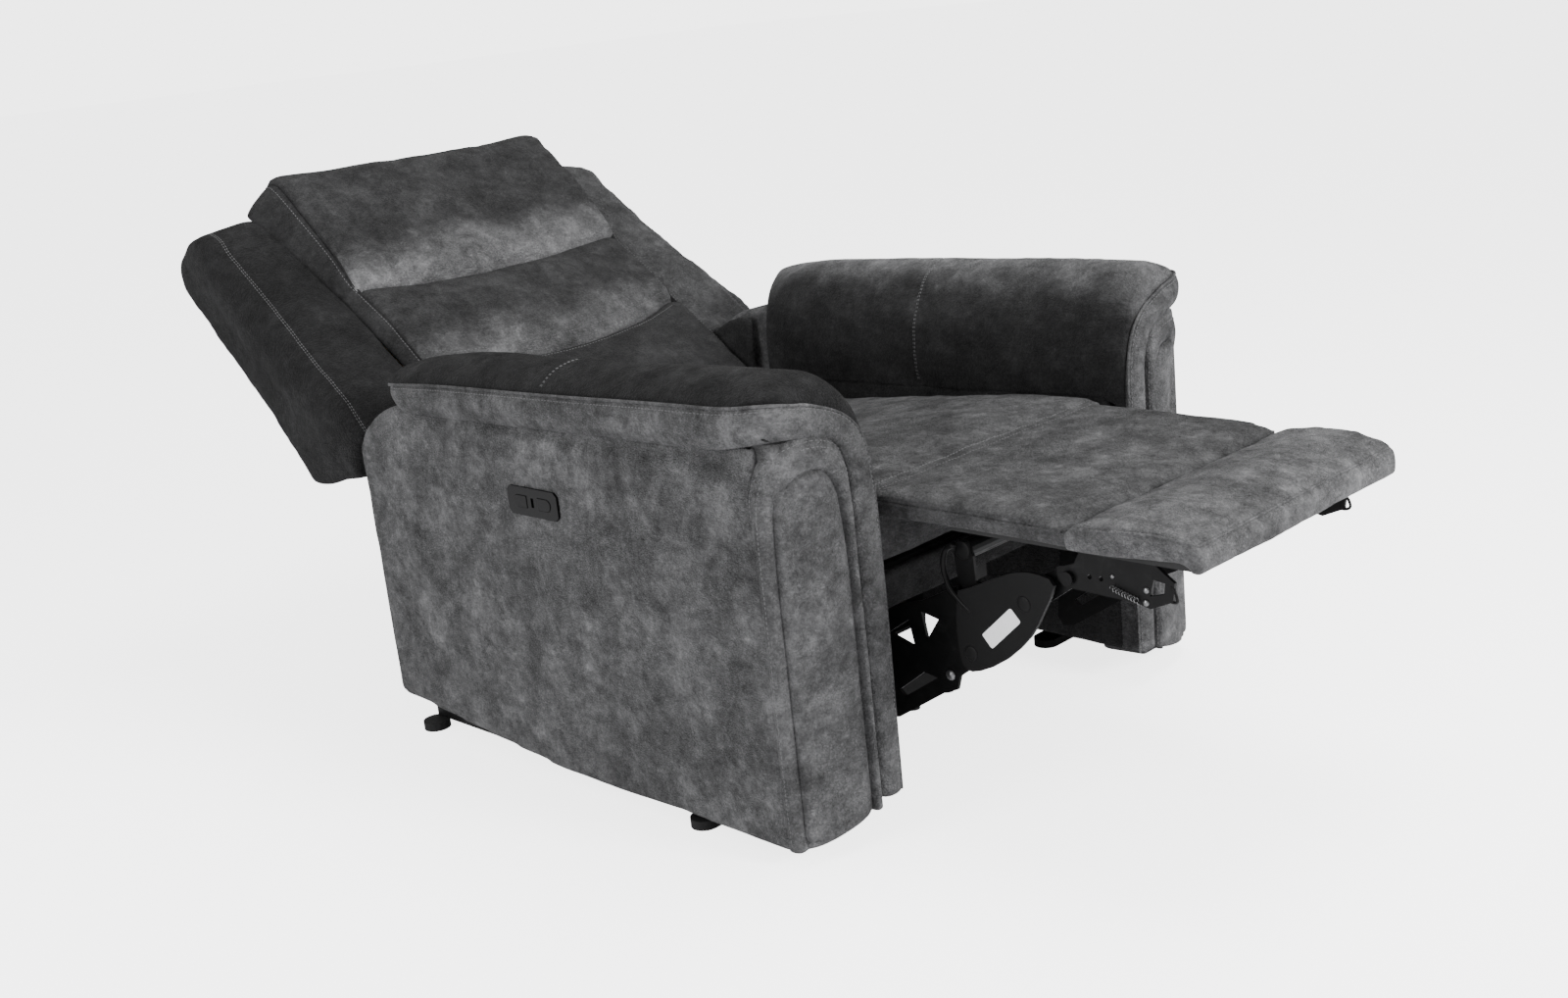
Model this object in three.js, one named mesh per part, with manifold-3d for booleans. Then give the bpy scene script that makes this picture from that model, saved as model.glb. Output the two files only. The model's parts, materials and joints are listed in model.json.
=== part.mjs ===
// Power recliner armchair, shown reclined with the legrest out. Millimetres, +Z up, sitter faces -Y.
// Side views are drawn as (y, z) outlines and extruded along X. The sitter's left is +X.
import * as THREE from 'three';
import { mergeVertices } from 'three/addons/utils/BufferGeometryUtils.js';
import Module from 'manifold-3d';

const wasm = await Module();
wasm.setup();

// ---------- driving dimensions ----------
const GAP = 0.3;                 // clearance between parts that touch
const ORIGIN_Y = 492.8;           // y of the origin, half way along the chair, in drawing coordinates

const ARM_OUTER = 457;           // half width over the arms' side covers
const PAD_OUTER = 465;           // half width over the arm pads
const ARM_INNER = 284;           // half width between the arms
const ARM_FRONT_Y = -36;
const ARM_REAR_Y = 898;
const ARM_TOP_Z = 548;           // top of the side cover at mid length
const PAD_SLOPE = -0.02;         // the arm tops fall towards the back
const PAD_MID_Y = 384;
const PAD_FRONT_Y = -5;
const PAD_REAR_Y = 764;

const SEAT_HALF = 272;
const SEAT_REAR_Y = 696;
const DECK_Z = 346;              // top of the spring deck

const BACK_PIVOT = { y: 767, z: 384 };
const deg = (degrees) => THREE.MathUtils.degToRad(degrees);
const BACK_TILT = deg(34);   // back surface above horizontal when reclined
const SHOULDER_R = 166;          // rear shoulder of the arms, round the back's pivot
const WING_R = 174;              // lower edge of the wings, round the same pivot
const WING_INNER = 296;
const WING_OUTER_LOW = 455;
const WING_OUTER_HIGH = 425;

const LEG_HALF = 253;

const LINK_PIVOT = { y: 100, z: 310 };            // rear link on the side plate
const BRACKET_PIVOT = { y: -280, z: 371 };        // front link to legrest bracket
const FRONT_TUBE = { y: -105, z: 378 };
const CRANK_R = 45;

// Planes of the mechanism: inner and outer distance from the centre line.
const FRONT_LINK_X = [196, 201];
const REAR_LINK_X = [203, 208];
const LINK_COVER_X = [211, 217];
const SIDE_PLATE_X = [222, 226];
const BACK_BRACKET_X = [229, 233];

const SWITCH_Y = 459;
const SWITCH_Z = 442;

// ---------- materials ----------
function finish(color, roughness, metalness) {
  return new THREE.MeshStandardMaterial({ color, roughness, metalness });
}
const suede = () => finish(0x4a4a4c, 0.85, 0);
const suedeDark = () => finish(0x3c3c3e, 0.88, 0);
const steel = () => finish(0x17171a, 0.5, 0.6);
const wood = () => finish(0xb99a6b, 0.75, 0);
const lining = () => finish(0x161616, 0.95, 0);
const plastic = () => finish(0x1b1b1d, 0.55, 0);
const gloss = () => finish(0x0c0c0e, 0.15, 0);
const rubber = () => finish(0x101012, 0.9, 0);

// ---------- shape helpers ----------
const chair = new THREE.Group();
chair.position.y = -ORIGIN_Y;

// A closed outline, always drawn anticlockwise, so that holes pushed into it come out right.
function outline(points) {
  const corners = points.map(([a, b]) => new THREE.Vector2(a, b));
  return new THREE.Shape(THREE.ShapeUtils.isClockWise(corners) ? corners.reverse() : corners);
}

function ring(a, b, radius, count) {
  const turn = (i) => (i / count) * Math.PI * 2;
  return Array.from({ length: count }, (_, i) => [
    a + radius * Math.cos(turn(i)),
    b + radius * Math.sin(turn(i)),
  ]);
}

// Extrudes a shape drawn in two axes along the third, from `low` to `high`.
function extrude(shape, normal, low, high, curveSegments = 8) {
  const settings = { depth: high - low, bevelEnabled: false, curveSegments };
  const geometry = new THREE.ExtrudeGeometry(shape, settings);
  const axes = {
    x: [new THREE.Vector3(0, 1, 0), new THREE.Vector3(0, 0, 1), new THREE.Vector3(1, 0, 0)],
    y: [new THREE.Vector3(-1, 0, 0), new THREE.Vector3(0, 0, 1), new THREE.Vector3(0, 1, 0)],
    z: [new THREE.Vector3(1, 0, 0), new THREE.Vector3(0, 1, 0), new THREE.Vector3(0, 0, 1)],
  }[normal];
  geometry.applyMatrix4(new THREE.Matrix4().makeBasis(...axes));
  geometry.translate(...['x', 'y', 'z'].map((axis) => (axis === normal ? low : 0)));
  return geometry;
}

function block(x0, x1, y0, y1, z0, z1) {
  const geometry = new THREE.BoxGeometry(Math.abs(x1 - x0), y1 - y0, z1 - z0);
  return geometry.translate((x0 + x1) / 2, (y0 + y1) / 2, (z0 + z1) / 2);
}

function rodAlongX(y, z, radius, x0, x1, segments = 16) {
  const geometry = new THREE.CylinderGeometry(radius, radius, Math.abs(x1 - x0), segments);
  return geometry.rotateZ(Math.PI / 2).translate((x0 + x1) / 2, y, z);
}

function post(x, y, radius, z0, z1, segments = 16) {
  const geometry = new THREE.CylinderGeometry(radius, radius, z1 - z0, segments);
  return geometry.rotateX(Math.PI / 2).translate(x, y, (z0 + z1) / 2);
}

// A span given as [inner, outer] distances, on the side `s` (+1 sitter's left, -1 right), in rising x.
function onSide(s, [inner, outer]) {
  return s > 0 ? [inner, outer] : [-outer, -inner];
}

function solid(geometry) {
  const bare = geometry.clone();
  bare.deleteAttribute('normal');
  bare.deleteAttribute('uv');
  const merged = mergeVertices(bare, 1e-3);
  return new wasm.Manifold(new wasm.Mesh({
    numProp: 3,
    vertProperties: Float32Array.from(merged.attributes.position.array),
    triVerts: Uint32Array.from(merged.index.array),
  }));
}

function fromSolid(body) {
  const mesh = body.getMesh();
  const geometry = new THREE.BufferGeometry();
  geometry.setAttribute('position', new THREE.BufferAttribute(Float32Array.from(mesh.vertProperties), 3));
  geometry.setIndex(new THREE.BufferAttribute(Uint32Array.from(mesh.triVerts), 1));
  geometry.computeVertexNormals();
  return geometry;
}

function join(...geometries) {
  return fromSolid(geometries.map(solid).reduce((sum, next) => sum.add(next)));
}

function cut(geometry, ...tools) {
  return fromSolid(tools.map(solid).reduce((rest, tool) => rest.subtract(tool), solid(geometry)));
}

function common(first, second) {
  return fromSolid(solid(first).intersect(solid(second)));
}

function add(name, geometry, material) {
  const mesh = new THREE.Mesh(geometry, material);
  mesh.name = name;
  chair.add(mesh);
  return mesh;
}

// Point of the back given along it (u, from the pivot) and out of its front face (v).
function backPoint([u, v]) {
  const c = Math.cos(BACK_TILT);
  const s = Math.sin(BACK_TILT);
  return [BACK_PIVOT.y + c * u - s * v, BACK_PIVOT.z + s * u + c * v];
}

function backOutline(points) {
  return outline(points.map(backPoint));
}

function padZ(z, y) {
  return z + PAD_SLOPE * (y - PAD_MID_Y);
}

const SIDES = [['left', 1], ['right', -1]];

// ---------- floor frame ----------
const RAIL_Z = [14, 34];
const INNER_RAIL_X = [114, 137];
const INNER_RAIL_Z = [28, 54];
const OUTER_RAIL_X = [402, 424];
const FRONT_RAIL_Y = [204, 230];
const REAR_RAIL_Y = [836, 860];
const FOOT_TOP = RAIL_Z[0] - GAP;

function addFloorFrame() {
  const half = INNER_RAIL_X[1];
  add('base_front_rail', block(-half, half, ...FRONT_RAIL_Y, ...INNER_RAIL_Z), steel());
  add('base_rear_rail', block(-OUTER_RAIL_X[1], OUTER_RAIL_X[1], ...REAR_RAIL_Y, ...RAIL_Z), steel());
  for (const [side, s] of SIDES) {
    const innerRail = block(...onSide(s, INNER_RAIL_X), FRONT_RAIL_Y[1] + GAP, 862, RAIL_Z[1] + GAP, 54);
    add(`base_inner_rail_${side}`, innerRail, steel());
    const outerRail = block(...onSide(s, OUTER_RAIL_X), 182, REAR_RAIL_Y[0] - GAP, ...RAIL_Z);
    add(`base_outer_rail_${side}`, outerRail, steel());
    const shoe = new THREE.Shape();
    shoe.absarc(s * 436, 200, 21, -Math.PI / 2, Math.PI / 2, s < 0);
    shoe.absarc(s * 355, 200, 21, Math.PI / 2, -Math.PI / 2, s < 0);
    add(`foot_front_${side}`, extrude(shoe, 'z', 0, FOOT_TOP), rubber());
    add(`foot_rear_${side}`, post(s * 436, 848, 22, 0, FOOT_TOP), rubber());
    const top = INNER_RAIL_Z[0] - GAP;
    const strip = block(...onSide(s, [18, 124]), 210, 224, top - 4, top);
    const glides = [28, 112].map((x) => post(s * x, 217, 12, 0, top - 3, 12));
    add(`glide_strip_${side}`, join(strip, ...glides), rubber());
  }
}

// ---------- arms ----------
function shoulder(shape, radius, rearY, frontY) {
  const rise = Math.acos((rearY - BACK_PIVOT.y) / radius);
  const end = Math.acos((frontY - BACK_PIVOT.y) / radius);
  shape.absarc(BACK_PIVOT.y, BACK_PIVOT.z, radius, rise, end, false);
}

function armProfile(front, rear, low, radius, top) {
  const shape = new THREE.Shape();
  const lift = low - 18;
  shape.moveTo(front, low);
  shape.lineTo(480, 17 + lift);
  shape.quadraticCurveTo(700, 36 + lift, rear, 57 + lift);
  shoulder(shape, radius, rear, 747);
  shape.lineTo(front, padZ(top, front));
  return shape;
}

function addArm(side, s) {
  // Outer cover, which turns the rear corner and closes the arm behind and over the shoulder.
  const cover = armProfile(ARM_FRONT_Y + 30, ARM_REAR_Y, 18, SHOULDER_R, ARM_TOP_Z);
  const closing = new THREE.Shape();
  closing.moveTo(ARM_REAR_Y, 58);
  shoulder(closing, SHOULDER_R, ARM_REAR_Y, 747);
  const start = Math.acos((747 - BACK_PIVOT.y) / SHOULDER_R);
  const end = Math.acos((ARM_REAR_Y - 13 - BACK_PIVOT.y) / (SHOULDER_R - 10));
  closing.absarc(BACK_PIVOT.y, BACK_PIVOT.z, SHOULDER_R - 10, start, end, true);
  closing.lineTo(ARM_REAR_Y - 13, 58);
  const sheet = extrude(cover, 'x', ...onSide(s, [441, ARM_OUTER]), 6);
  const strip = extrude(closing, 'x', ...onSide(s, [309, 442]), 6);
  add(`arm_side_cover_${side}`, join(sheet, strip), suede());

  const board = armProfile(8, 880, 60, SHOULDER_R - 14, ARM_TOP_Z - 14);
  add(`arm_board_${side}`, extrude(board, 'x', ...onSide(s, [425, 441 - GAP]), 5), wood());

  // Pad: over the top, down the inner side to the seat.
  const section = [
    [PAD_OUTER, 560], [PAD_OUTER, 602], [440, 622], [395, 631], [340, 627], [304, 604], [286, 556],
    [ARM_INNER, 457], [299, 457], [304, 557], [308, 560],
  ];
  const mirrored = section.map(([x, z]) => [-s * x, z]);
  const pad = extrude(outline(mirrored), 'y', PAD_FRONT_Y, PAD_REAR_Y);
  const shear = new THREE.Matrix4().makeShear(0, 0, 0, PAD_SLOPE, 0, 0);
  pad.applyMatrix4(shear).translate(0, 0, -PAD_SLOPE * PAD_MID_Y);
  add(`arm_pad_${side}`, pad, suede());

  const inner = new THREE.Shape();
  inner.moveTo(-4, 50);
  inner.lineTo(880, 60);
  shoulder(inner, SHOULDER_R - 6, 880, PAD_REAR_Y + 5);
  inner.lineTo(PAD_REAR_Y + 5, 440);
  inner.lineTo(-4, 464);
  add(`arm_inner_panel_${side}`, extrude(inner, 'x', ...onSide(s, [286, 300]), 5), suedeDark());

  const band = outline([
    [-s * ARM_INNER, 54], [-s * ARM_INNER, 540], [-s * 290, 562], [-s * 318, 562], [-s * 318, 54],
  ]);
  add(`arm_front_band_${side}`, extrude(band, 'y', ARM_FRONT_Y - 2, -6), suede());

  const front = new THREE.Shape();
  front.moveTo(-s * 320, 40);
  front.lineTo(-s * 320, 540);
  front.quadraticCurveTo(-s * 322, 561, -s * 345, 561);
  front.lineTo(-s * 425, 561);
  front.quadraticCurveTo(-s * ARM_OUTER, 558, -s * ARM_OUTER, 520);
  front.lineTo(-s * ARM_OUTER, 20);
  add(`arm_front_panel_${side}`, extrude(front, 'y', ARM_FRONT_Y, -6 - GAP, 5), suede());
}

// ---------- control plate on the right arm ----------
const PLATE_X = [ARM_OUTER + GAP, ARM_OUTER + 6.3];
const BUTTON_X = [ARM_OUTER + 2.6, ARM_OUTER + 7.2];
const BUTTON_OFFSET = 27;

// D shape with its round side away from the plate's centre.
function buttonShape(centre, away, half, width) {
  const shape = new THREE.Shape();
  shape.moveTo(centre - (away * width) / 2, SWITCH_Z - half);
  shape.lineTo(centre + away * (width / 2 - half), SWITCH_Z - half);
  shape.absarc(centre + away * (width / 2 - half), SWITCH_Z, half, -Math.PI / 2, Math.PI / 2, away < 0);
  shape.lineTo(centre - (away * width) / 2, SWITCH_Z + half);
  return shape;
}

function addControls() {
  const plate = outline([
    [-50, -21], [50, -21], [56.5, -15], [56.5, 15], [50, 21], [-50, 21], [-56.5, 15], [-56.5, -15],
  ].map(([y, z]) => [SWITCH_Y + y, SWITCH_Z + z]));
  const windows = [];
  for (const away of [-1, 1]) {
    const hole = buttonShape(SWITCH_Y + away * BUTTON_OFFSET, away, 9.5, 30);
    windows.push(extrude(hole, 'x', -PLATE_X[1] - 2, -PLATE_X[0] + 2, 6));
  }
  const socketX = [-PLATE_X[1] - 2, -PLATE_X[0] - 3];
  const socket = block(...socketX, SWITCH_Y - 3, SWITCH_Y + 3, SWITCH_Z - 7, SWITCH_Z + 7);
  const blank = extrude(plate, 'x', ...onSide(-1, PLATE_X));
  add('control_plate', cut(blank, ...windows, socket), gloss());
  for (const [name, away] of [['button_open', 1], ['button_close', -1]]) {
    const shape = buttonShape(SWITCH_Y + away * BUTTON_OFFSET, away, 8.7, 28.4);
    add(name, extrude(shape, 'x', ...onSide(-1, BUTTON_X), 6), plastic());
  }
}

// ---------- seat ----------
function addSeat() {
  const cushion = new THREE.Shape();
  cushion.moveTo(-8, DECK_Z + 4);
  cushion.lineTo(SEAT_REAR_Y, DECK_Z + 4);
  cushion.lineTo(SEAT_REAR_Y, 396);
  cushion.quadraticCurveTo(SEAT_REAR_Y, 408, SEAT_REAR_Y - 14, 409);
  cushion.lineTo(526, 418);
  cushion.quadraticCurveTo(260, 456, 60, 462);
  cushion.lineTo(-44, 462);
  cushion.lineTo(-44, 455);
  cushion.lineTo(-8, 424);
  add('seat_cushion', extrude(cushion, 'x', -SEAT_HALF, SEAT_HALF, 5), suede());
  add('seat_deck', block(-262, 262, 12, 704, DECK_Z - 8, DECK_Z), suedeDark());
  add('seat_front_panel', block(-264, 264, -8, 8, 293, DECK_Z), suede());
  add('seat_front_rail', block(-220, 220, 12, 34, 300, DECK_Z - 8 - GAP), wood());
  add('seat_rear_rail', block(-220, 220, 680, 704, 296, DECK_Z - 8 - GAP), steel());
}

// ---------- mechanism fixed under the seat ----------
function addMechanismFrame() {
  for (const [side, s] of SIDES) {
    const plate = new THREE.Shape();
    plate.moveTo(14, 298);
    plate.lineTo(340, 290);
    plate.lineTo(352, 56);
    plate.lineTo(452, 56);
    plate.lineTo(464, 290);
    plate.lineTo(690, 288);
    plate.lineTo(780, 366);
    plate.absarc(BACK_PIVOT.y, BACK_PIVOT.z, 20, -0.6, Math.PI * 0.8, false);
    plate.lineTo(712, 337);
    plate.lineTo(14, 337);
    const foot = block(...onSide(s, [104, SIDE_PLATE_X[1]]), 352, 452, 56, 62);
    const flat = extrude(plate, 'x', ...onSide(s, SIDE_PLATE_X), 6);
    add(`side_plate_${side}`, join(flat, foot), steel());
  }
  add('drive_rail', block(-14, 14, 36, 470 - GAP, 254, 276), steel());
  const motor = join(
    block(-38, 38, 470, 560, 226, 300),
    new THREE.CylinderGeometry(30, 30, 90, 20).translate(0, 600, 262),
  );
  add('drive_motor', motor, plastic());
  add('power_inlet', block(60, 92, 704 + GAP, 716, 302, 330), plastic());
}

// ---------- moving links ----------
function addLinks() {
  const tube = rodAlongX(LINK_PIVOT.y, LINK_PIVOT.z, 12, -REAR_LINK_X[0] + GAP, REAR_LINK_X[0] - GAP, 14);
  const cranks = SIDES.map(([, s]) => {
    const crank = new THREE.Shape();
    const tipY = LINK_PIVOT.y + CRANK_R * Math.cos(deg(224));
    const tipZ = LINK_PIVOT.z + CRANK_R * Math.sin(deg(224));
    crank.absarc(LINK_PIVOT.y, LINK_PIVOT.z, 18, deg(314), deg(134), false);
    crank.absarc(tipY, tipZ, 10, deg(134), deg(314), false);
    return extrude(crank, 'x', ...onSide(s, [36, 41]), 6);
  });
  add('torque_tube', join(tube, ...cranks), steel());

  const nutSection = outline([
    [-30, 248], [-15, 248], [-15, 278], [15, 278], [15, 248], [30, 248], [30, 287], [-30, 287],
  ]);
  const pins = SIDES.map(([, s]) => rodAlongX(68, 272, 6, ...onSide(s, [28, 35.6]), 10));
  add('drive_nut', join(extrude(nutSection, 'y', 48, 88), ...pins), plastic());

  for (const [side, s] of SIDES) {
    addRearLink(side, s);
    addFrontLink(side, s);
  }
  const reach = FRONT_LINK_X[0] - GAP;
  add('front_tube', rodAlongX(FRONT_TUBE.y, FRONT_TUBE.z, 14, -reach, reach), steel());
}

// Pressed plate with three windows between its ribs.
function addRearLink(side, s) {
  const plate = outline([
    [114, 312], [106, 322], [92, 321], [12, 287], [-28, 296], [-98, 330], [-134, 246], [-126, 226],
    [-90, 200], [-84, 180], [-60, 170], [26, 116], [46, 112], [56, 126], [44, 236], [58, 262],
    [110, 298],
  ]);
  const windows = [
    [[32, 241], [-6, 266], [-14, 228]],
    [[-30, 282], [-60, 276], [-37, 243]],
    [[22, 158], [-27, 194], [-50, 190], [12, 150]],
  ];
  for (const points of windows) plate.holes.push(outline(points));
  add(`rear_link_${side}`, extrude(plate, 'x', ...onSide(s, REAR_LINK_X)), steel());
}

function addFrontLink(side, s) {
  const link = outline([
    [-128, 228], [-106, 230], [-98, 300], [-90, 372], [-97, 390], [-114, 390], [-122, 372],
    [-124, 338], [-160, 326], [-200, 346], [-270, 384], [-288, 382], [-292, 366], [-284, 358],
    [-216, 312], [-150, 262],
  ]);
  add(`front_link_${side}`, extrude(link, 'x', ...onSide(s, FRONT_LINK_X)), steel());

  const drop = new THREE.Shape();
  const rim = [
    [-105, 327], [-99, 286], [-100, 244], [-107, 220], [-128, 218], [-174, 241], [-219, 282], [-246, 325],
    [-262, 362], [-234, 371], [-200, 367], [-159, 350], [-129, 336],
  ].map(([y, z]) => new THREE.Vector2(y, z));
  drop.moveTo(rim[0].x, rim[0].y);
  drop.splineThru([...rim.slice(1), rim[0]]);
  const shell = extrude(drop, 'x', ...onSide(s, LINK_COVER_X), 2);
  const spacer = rodAlongX(-213, 327, 9, ...onSide(s, [FRONT_LINK_X[1] + GAP, LINK_COVER_X[0] + 1]), 12);
  add(`link_cover_${side}`, join(shell, spacer), plastic());
}

// ---------- legrest ----------
function addLegrest() {
  add('legrest_board', block(-222, 222, -468, -104, 412, 422), lining());
  const calf = new THREE.Shape();
  calf.moveTo(-66, 462);
  calf.lineTo(-66, 452);
  calf.lineTo(-100, 422 + GAP);
  calf.lineTo(-309, 422 + GAP);
  calf.lineTo(-309, 456);
  calf.quadraticCurveTo(-300, 463, -240, 466);
  calf.lineTo(-150, 466);
  add('calf_pad', extrude(calf, 'x', -LEG_HALF, LEG_HALF, 4), suede());
  const foot = new THREE.Shape();
  foot.moveTo(-311, 422 + GAP);
  foot.lineTo(-468 - GAP, 422 + GAP);
  foot.lineTo(-468 - GAP, 416);
  foot.quadraticCurveTo(-484, 416, -484, 430);
  foot.quadraticCurveTo(-484, 446, -466, 449);
  foot.lineTo(-340, 457);
  foot.lineTo(-311, 452);
  add('foot_pad', extrude(foot, 'x', -LEG_HALF, LEG_HALF, 4), suede());
  for (const [side, s] of SIDES) {
    const plate = outline([
      [-262, 382], [-262, 366], [-272, 358], [-290, 357], [-380, 354], [-398, 350], [-430, 364], [-433, 388],
      [-416, 400], [-400, 412 - GAP], [-300, 412 - GAP], [-288, 390],
    ]);
    plate.holes.push(outline([[-398, 366], [-418, 372], [-420, 386], [-404, 388]]));
    for (const y of [-311, -328]) plate.holes.push(outline(ring(y, 377, 3.4, 8)));
    const flat = extrude(plate, 'x', ...onSide(s, REAR_LINK_X));
    const bolt = rodAlongX(BRACKET_PIVOT.y, BRACKET_PIVOT.z, 9, ...onSide(s, [REAR_LINK_X[1] - 1, 214]), 12);
    add(`legrest_bracket_${side}`, join(flat, bolt), steel());
  }
}

// ---------- back ----------
function addBack() {
  const lumbar = backOutline([[28, 4], [28, 50], [40, 58], [240, 58], [254, 50], [254, 4]]);
  add('lumbar_cushion', extrude(lumbar, 'x', -272, 272), suede());
  const middle = backOutline([[257, 4], [257, 52], [268, 60], [448, 62], [458, 54], [458, 4]]);
  add('middle_cushion', extrude(middle, 'x', -276, 276), suede());
  const pillow = backOutline([
    [462, 4], [462, 60], [500, 74], [583, 88], [660, 98], [711, 101], [740, 88], [756, 54],
    [758, -14], [742, -14], [742, 4],
  ]);
  add('head_pillow', extrude(pillow, 'x', -292, 292), suede());
  const board = backOutline([[34, -22], [34, 2], [736, 2], [736, -22]]);
  add('back_board', extrude(board, 'x', -264, 264), wood());

  // Rear cover: a thin shell with a lip over the top, narrower where it passes between the arms.
  const side = backOutline([
    [-115, -140], [690, -140], [722, -132], [742, -112], [756, -22], [744, -22], [728, -106], [714, -120],
    [690, -127], [-115, -127],
  ]);
  const front = outline([
    [-276, -120], [276, -120], [276, 186], [292, 200], [292, 760], [-292, 760], [-292, 200], [-276, 186],
  ]);
  const trim = extrude(front, 'z', -200, 60);
  trim.rotateX(BACK_TILT).translate(0, BACK_PIVOT.y, BACK_PIVOT.z);
  add('back_cover', common(extrude(side, 'x', -292, 292), trim), suede());

  for (const [name, s] of SIDES) {
    addWing(name, s);
    const bracket = backOutline([
      [-18, -14], [-18, 14], [-10, 19], [12, 16], [24, 2], [27, -26], [230, -26], [230, -46], [14, -46],
    ]);
    add(`back_bracket_${name}`, extrude(bracket, 'x', ...onSide(s, BACK_BRACKET_X)), steel());
  }
}

function addWing(side, s) {
  const steps = [30, 0, -30, -71];
  const lower = steps.map((v) => [Math.sqrt(WING_R ** 2 - v ** 2), v]);
  const shape = backOutline([
    ...lower, [248, -152], [750, -128], [772, -112], [776, -88], [760, -30], [730, 12], [690, 30],
  ]);
  const geometry = extrude(shape, 'x', ...onSide(s, [WING_INNER, WING_OUTER_LOW]));
  const position = geometry.attributes.position;
  const c = Math.cos(BACK_TILT);
  const t = Math.sin(BACK_TILT);
  for (let i = 0; i < position.count; i += 1) {
    const u = c * (position.getY(i) - BACK_PIVOT.y) + t * (position.getZ(i) - BACK_PIVOT.z);
    const along = THREE.MathUtils.clamp((u - WING_R) / (760 - WING_R), 0, 1);
    const outer = THREE.MathUtils.lerp(WING_OUTER_LOW, WING_OUTER_HIGH, along);
    if (Math.abs(position.getX(i)) > WING_INNER + 1) position.setX(i, s * outer);
  }
  add(`wing_${side}`, geometry, suede());
}

addFloorFrame();
for (const [side, s] of SIDES) addArm(side, s);
addControls();
addSeat();
addMechanismFrame();
addLinks();
addLegrest();
addBack();

export default chair;
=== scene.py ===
import json
import math

import bmesh
import bpy
import numpy as np
from mathutils import Matrix, Vector
from mathutils.bvhtree import BVHTree


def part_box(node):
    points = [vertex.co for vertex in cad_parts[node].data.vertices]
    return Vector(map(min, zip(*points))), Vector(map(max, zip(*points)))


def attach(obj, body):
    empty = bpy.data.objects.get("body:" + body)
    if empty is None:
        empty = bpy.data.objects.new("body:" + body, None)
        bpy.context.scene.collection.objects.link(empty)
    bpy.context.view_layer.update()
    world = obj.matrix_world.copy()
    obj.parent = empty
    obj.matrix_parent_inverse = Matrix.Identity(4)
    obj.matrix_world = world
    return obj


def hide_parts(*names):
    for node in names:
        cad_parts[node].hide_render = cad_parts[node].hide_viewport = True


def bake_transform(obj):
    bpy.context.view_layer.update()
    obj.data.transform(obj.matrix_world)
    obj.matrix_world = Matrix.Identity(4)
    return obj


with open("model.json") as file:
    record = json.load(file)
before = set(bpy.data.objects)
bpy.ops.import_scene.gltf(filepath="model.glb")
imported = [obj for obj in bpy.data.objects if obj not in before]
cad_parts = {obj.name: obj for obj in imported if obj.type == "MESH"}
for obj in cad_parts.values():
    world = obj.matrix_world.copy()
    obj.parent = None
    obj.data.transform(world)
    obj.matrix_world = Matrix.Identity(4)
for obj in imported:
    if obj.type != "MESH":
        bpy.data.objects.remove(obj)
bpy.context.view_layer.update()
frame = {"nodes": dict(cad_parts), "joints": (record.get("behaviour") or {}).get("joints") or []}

MM = 0.001


def joint(name):
    return next(j for j in frame["joints"] if j["name"] == name)


FRONT_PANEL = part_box("seat_front_panel")
SEAM_Y = (FRONT_PANEL[0].y + FRONT_PANEL[1].y) / 2 / MM  # y of the seat's front edge in the frame
PIVOT_Y = joint("back_recline")["pos_m"][1] / MM - SEAM_Y
PIVOT_Z = joint("back_recline")["pos_m"][2] / MM
BACK_TILT = math.radians(34)
SIDES = (("left", 1), ("right", -1))
SIDE_OF = {s: side for side, s in SIDES}

# Driving dimensions of the soft pieces: the arm's outer cover, half widths of pads and cushions, and how
# far from the centre line the outer faces of the links and of their plastic covers are.
ARM_FRONT, ARM_REAR = 6, 907
ARM_HEM, ARM_BODY_LOW = 18, 52
ARM_INSIDE, ARM_SKIRT, ARM_OUTSIDE = 309, 438, 458
COVER_CLOTH = 6
SEAT_HALF, CALF_HALF, FOOT_HALF = 279, 252, 254
CHANNEL_HALF, PILLOW_HALF = 282, 288
CRANK_FACE, LINK_FACE, COVER_FACE = 201, 208, 217


# ---------- places ----------
def chair(x, y, z):
    x, y, z = np.broadcast_arrays(*(np.asarray(w, float) for w in (x, y, z)))
    return np.stack([x, y + SEAM_Y, z], -1) * MM


def back(x, u, v):
    u, v = np.asarray(u, float), np.asarray(v, float)
    c, s = math.cos(BACK_TILT), math.sin(BACK_TILT)
    return chair(x, PIVOT_Y + c * u - s * v, PIVOT_Z + s * u + c * v)


def chair_mm(co):
    return co[:, 0] / MM, co[:, 1] / MM - SEAM_Y, co[:, 2] / MM


def back_mm(co):
    x, y, z = chair_mm(co)
    c, s = math.cos(BACK_TILT), math.sin(BACK_TILT)
    return x, c * (y - PIVOT_Y) + s * (z - PIVOT_Z), -s * (y - PIVOT_Y) + c * (z - PIVOT_Z)


def ramp(value, low, high):
    t = np.clip((value - low) / (high - low), 0, 1)
    return t * t * (3 - 2 * t)


# ---------- mesh helpers ----------
STEP = 6  # spacing of the rings along strips, piping and rows of stitches


def new_object(name, data):
    thing = bpy.data.objects.new(name, data)
    bpy.context.scene.collection.objects.link(thing)
    return thing


def make(name, vertices, faces):
    """A new piece, with the faces of each closed solid pointing out."""
    mesh = bpy.data.meshes.new(name)
    mesh.from_pydata([tuple(map(float, v)) for v in vertices], [], [tuple(f) for f in faces])
    shape = bmesh.new()
    shape.from_mesh(mesh)
    bmesh.ops.recalc_face_normals(shape, faces=shape.faces)
    shape.to_mesh(mesh)
    shape.free()
    return new_object(name, mesh)


def read(values, key):
    numbers = np.empty(len(values) * 3)
    values.foreach_get(key, numbers)
    return numbers.reshape(-1, 3)


def points(piece):
    return read(piece.data.vertices, "co")


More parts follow.
